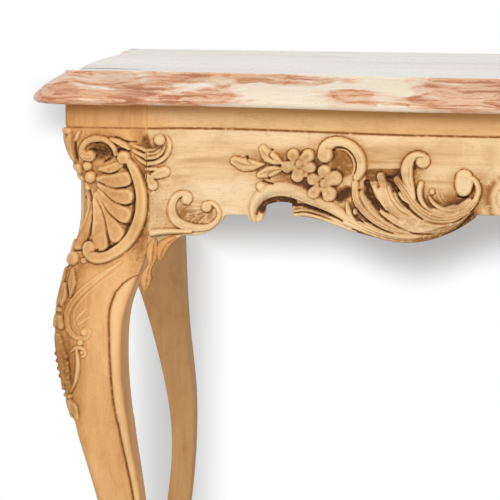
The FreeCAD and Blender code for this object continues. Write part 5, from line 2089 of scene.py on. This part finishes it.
@dataclass
class Studio:
    """Pale floor, white surroundings and soft lamps."""

    ambient: float = 0.365
    key_power: float = 57.0
    fill_power: float = 4.0
    top_power: float = 7.0
    wall_place: float = 0.2405
    floor_share: float = 0.28
    # Colour, strength and places of the painted shadow on the wall.
    shadow: Colour = (0.500, 0.512, 0.525, 1)
    halo_share: float = 0.35
    halo_high: Pair = (0.830, 0.780)
    bulge_place: float = 0.168
    bulge_wide: float = 0.125
    bulge_drop: float = 0.034
    apron_fade: Pair = (0.572, 0.646)
    apron_ends: Pair = (0.555, 0.500)
    leg_place: float = 0.494
    leg_wide: float = 0.084
    leg_share: float = 0.75
    eave_side: Pair = (0.700, 0.630)
    eave_fade: Pair = (0.730, 0.775)
    eave_share: float = 0.90
    facing_fade: Pair = (0.8, 0.5)
    floor_fade: Pair = (1.5, 0.4)
    floor_drop: float = 0.5 * MM
    floor_tone: Colour = (0.88, 0.88, 0.88, 1)
    wall_tone: Colour = (0.9, 0.9, 0.9, 1)
    white: Colour = (1, 1, 1, 1)
    wide: float = 12.0
    tall: float = 9.0

    def lamp(self, name: str, place: tuple, target: tuple, size: float, power: float) -> None:
        """Adds a square lamp.

        Args:
            name: Lamp name.
            place: Where it hangs.
            target: Point it faces.
            size: Width in metres.
            power: Power in watts.
        """
        data = bpy.data.lights.new(name, "AREA")
        data.size = size
        data.energy = power
        lamp = bpy.data.objects.new(name, data)
        lamp.location = place
        lamp.rotation_euler = (Vector(target) - Vector(place)).to_track_quat("-Z", "Y").to_euler()
        bpy.context.scene.collection.objects.link(lamp)

    def white_to_camera(self, tree: bpy.types.NodeTree) -> Socket:
        """Value that is 1 for what the camera and mirrors see.

        Args:
            tree: Node tree it is built in.

        Returns:
            Value socket.
        """
        path = tree.nodes.new("ShaderNodeLightPath")
        value = path.outputs["Is Camera Ray"]
        for other in ("Is Glossy Ray", "Is Transmission Ray"):
            both = tree.nodes.new("ShaderNodeMath")
            both.operation = "MAXIMUM"
            tree.links.new(value, both.inputs[0])
            tree.links.new(path.outputs[other], both.inputs[1])
            value = both.outputs[0]
        return value

    def sheet(self, corners: list[Triple], material: Material) -> Item:
        """Adds one flat face of the surroundings.

        Args:
            corners: Its corners.
            material: Its material, whose name it takes.

        Returns:
            The face.
        """
        mesh = bpy.data.meshes.new(material.name)
        mesh.from_pydata(corners, [], [(0, 1, 2, 3)])
        mesh.materials.append(material)
        return add_object(material.name, mesh)

    def blended(self, shader: Shader, share: Socket, tone: Colour, glow: object) -> bpy.types.Node:
        """Surface between plain paint and a flat glow.

        Args:
            shader: Material that is built.
            share: Share of the glow.
            tone: Colour of the paint.
            glow: Colour of the glow, or its socket.

        Returns:
            The node that mixes both.
        """
        diffuse = shader.node("ShaderNodeBsdfDiffuse", {"Color": tone})
        light = shader.node("ShaderNodeEmission", {"Color": glow, "Strength": 1.0})
        return shader.node("ShaderNodeMixShader", {0: share, 1: diffuse.outputs[0], 2: light.outputs[0]})

    def shadow_share(self, shader: Shader) -> Socket:
        """Strength of the painted soft shadow on the wall, laid by place under the apron, beside the back leg
        and under the end of the marble.

        Args:
            shader: Material that is built.

        Returns:
            Value socket, from 0 to 1.
        """
        place = shader.node("ShaderNodeNewGeometry").outputs["Position"]
        across, up = shader.calc("ABSOLUTE", shader.split(place, "X")), shader.split(place, "Z")
        bulge = shader.calc("ABSOLUTE", shader.calc("SUBTRACT", across, self.bulge_place))
        bulge = shader.times(shader.level(bulge, self.bulge_wide, 0.0), self.bulge_drop)
        lower = shader.level(shader.calc("ADD", up, bulge), *self.apron_fade)
        apron = shader.times(lower, shader.level(across, *self.apron_ends))
        leg = shader.calc("ABSOLUTE", shader.calc("SUBTRACT", across, self.leg_place))
        leg = shader.times(shader.level(leg, self.leg_wide, 0.0), self.leg_share)
        eave = shader.times(shader.level(across, *self.eave_side), shader.level(up, *self.eave_fade))
        dark = shader.calc("MAXIMUM", shader.calc("MAXIMUM", apron, leg), shader.times(eave, self.eave_share))
        dark = shader.times(dark, shader.level(up, *self.halo_high))
        facing = shader.node("ShaderNodeLayerWeight").outputs["Facing"]
        return shader.times(dark, shader.level(facing, *self.facing_fade))

    def wall(self) -> None:
        """Adds the white wall, seen from the front only, with a soft shadow painted on it by place and mixed
        with the real shading there.
        """
        shader = Shader("studio_wall")
        # Painted shadow: the glow dims towards the shadow colour where it lies.
        dark = self.shadow_share(shader)
        share = shader.calc("SUBTRACT", 1.0, shader.times(dark, self.halo_share))
        lit = self.blended(shader, share, self.wall_tone, shader.mix(dark, self.white, self.shadow))
        clear = shader.node("ShaderNodeBsdfTransparent")
        behind = shader.node("ShaderNodeNewGeometry").outputs["Backfacing"]
        material = shader.show(shader.node(
            "ShaderNodeMixShader", {0: behind, 1: lit.outputs[0], 2: clear.outputs[0]}))
        wide, tall = self.wide, self.tall
        wall = self.sheet([(-wide, 0, 0), (wide, 0, 0), (wide, 0, tall), (-wide, 0, tall)], material)
        wall.location.y = self.wall_place
        wall.visible_diffuse = False
        wall.visible_shadow = False

    def floor(self) -> None:
        """Adds the pale floor, which keeps the shadow near the table."""
        shader = Shader("studio_floor")
        near = shader.level(shader.length(shader.places()), *self.floor_fade)
        plain = shader.calc("SUBTRACT", 1.0, shader.times(near, self.floor_share))
        share = shader.times(self.white_to_camera(shader.tree), plain)
        material = shader.show(self.blended(shader, share, self.floor_tone, self.white))
        wide = self.wide
        floor = self.sheet([(-wide, -wide, 0), (wide, -wide, 0), (wide, wide, 0), (-wide, wide, 0)], material)
        floor.location.z = -self.floor_drop

    def world(self) -> None:
        """Sets white surroundings that light the table less than they show."""
        world = bpy.data.worlds.new("studio")
        world.use_nodes = True
        tree = world.node_tree
        background = next(n for n in tree.nodes if n.type == "BACKGROUND")
        background.inputs["Color"].default_value = self.white
        blend = tree.nodes.new("ShaderNodeMapRange")
        tree.links.new(self.white_to_camera(tree), blend.inputs["Value"])
        blend.inputs["To Min"].default_value = self.ambient
        blend.inputs["To Max"].default_value = 1.0
        tree.links.new(blend.outputs["Result"], background.inputs["Strength"])
        bpy.context.scene.world = world

    def make(self) -> None:
        """Builds surroundings, floor, wall and lamps."""
        self.world()
        self.floor()
        self.wall()
        self.lamp("key_lamp", (-0.5, -2.8, 2.15), (-0.25, 0.0, 0.6), 1.6, self.key_power)
        self.lamp("fill_lamp", (2.4, -2.0, 1.5), (-0.2, 0.0, 0.6), 1.8, self.fill_power)
        self.lamp("top_lamp", (-0.2, 0.2, 2.8), (-0.2, 0.0, 0.8), 1.6, self.top_power)
        bpy.context.scene.view_settings.view_transform = "Standard"


def main() -> None:
    """Builds the table in order."""
    logging.basicConfig(level=logging.INFO, format="%(message)s")
    VIEW.make_camera()
    Studio().make()
    finishes = Finishes()
    relief = carve()
    LOG.info("carving drawn")
    MarbleSlab().make(finishes.marble)
    FrontBoards().make(finishes.front, relief)
    FrontLeg(
        "front_left_leg", "front_right_leg",
        levels=((0.0, 5 * MM), (0.455, 1.5 * MM), (0.5, 1.05 * MM), (0.800, 3 * MM), (0.825, 1.0)),
        columns=(91, 92, 12, 12), smooth_to=794 * MM).make(finishes.leg, relief)
    Leg(
        "back_left_leg", "back_right_leg",
        levels=((0.0, 5 * MM), (0.64, 1 * MM), (0.65, 10 * MM), (0.825, 1.0)),
        columns=(16, 16, 16, 16), smooth_to=638 * MM).make(finishes.back, relief)
    BracketDrop().make(finishes.leg)
    CentreShell().make(finishes.front)
    PlainJoinery().make(finishes)
    LOG.info("sizes written")


if __name__ == "__main__":
    main()
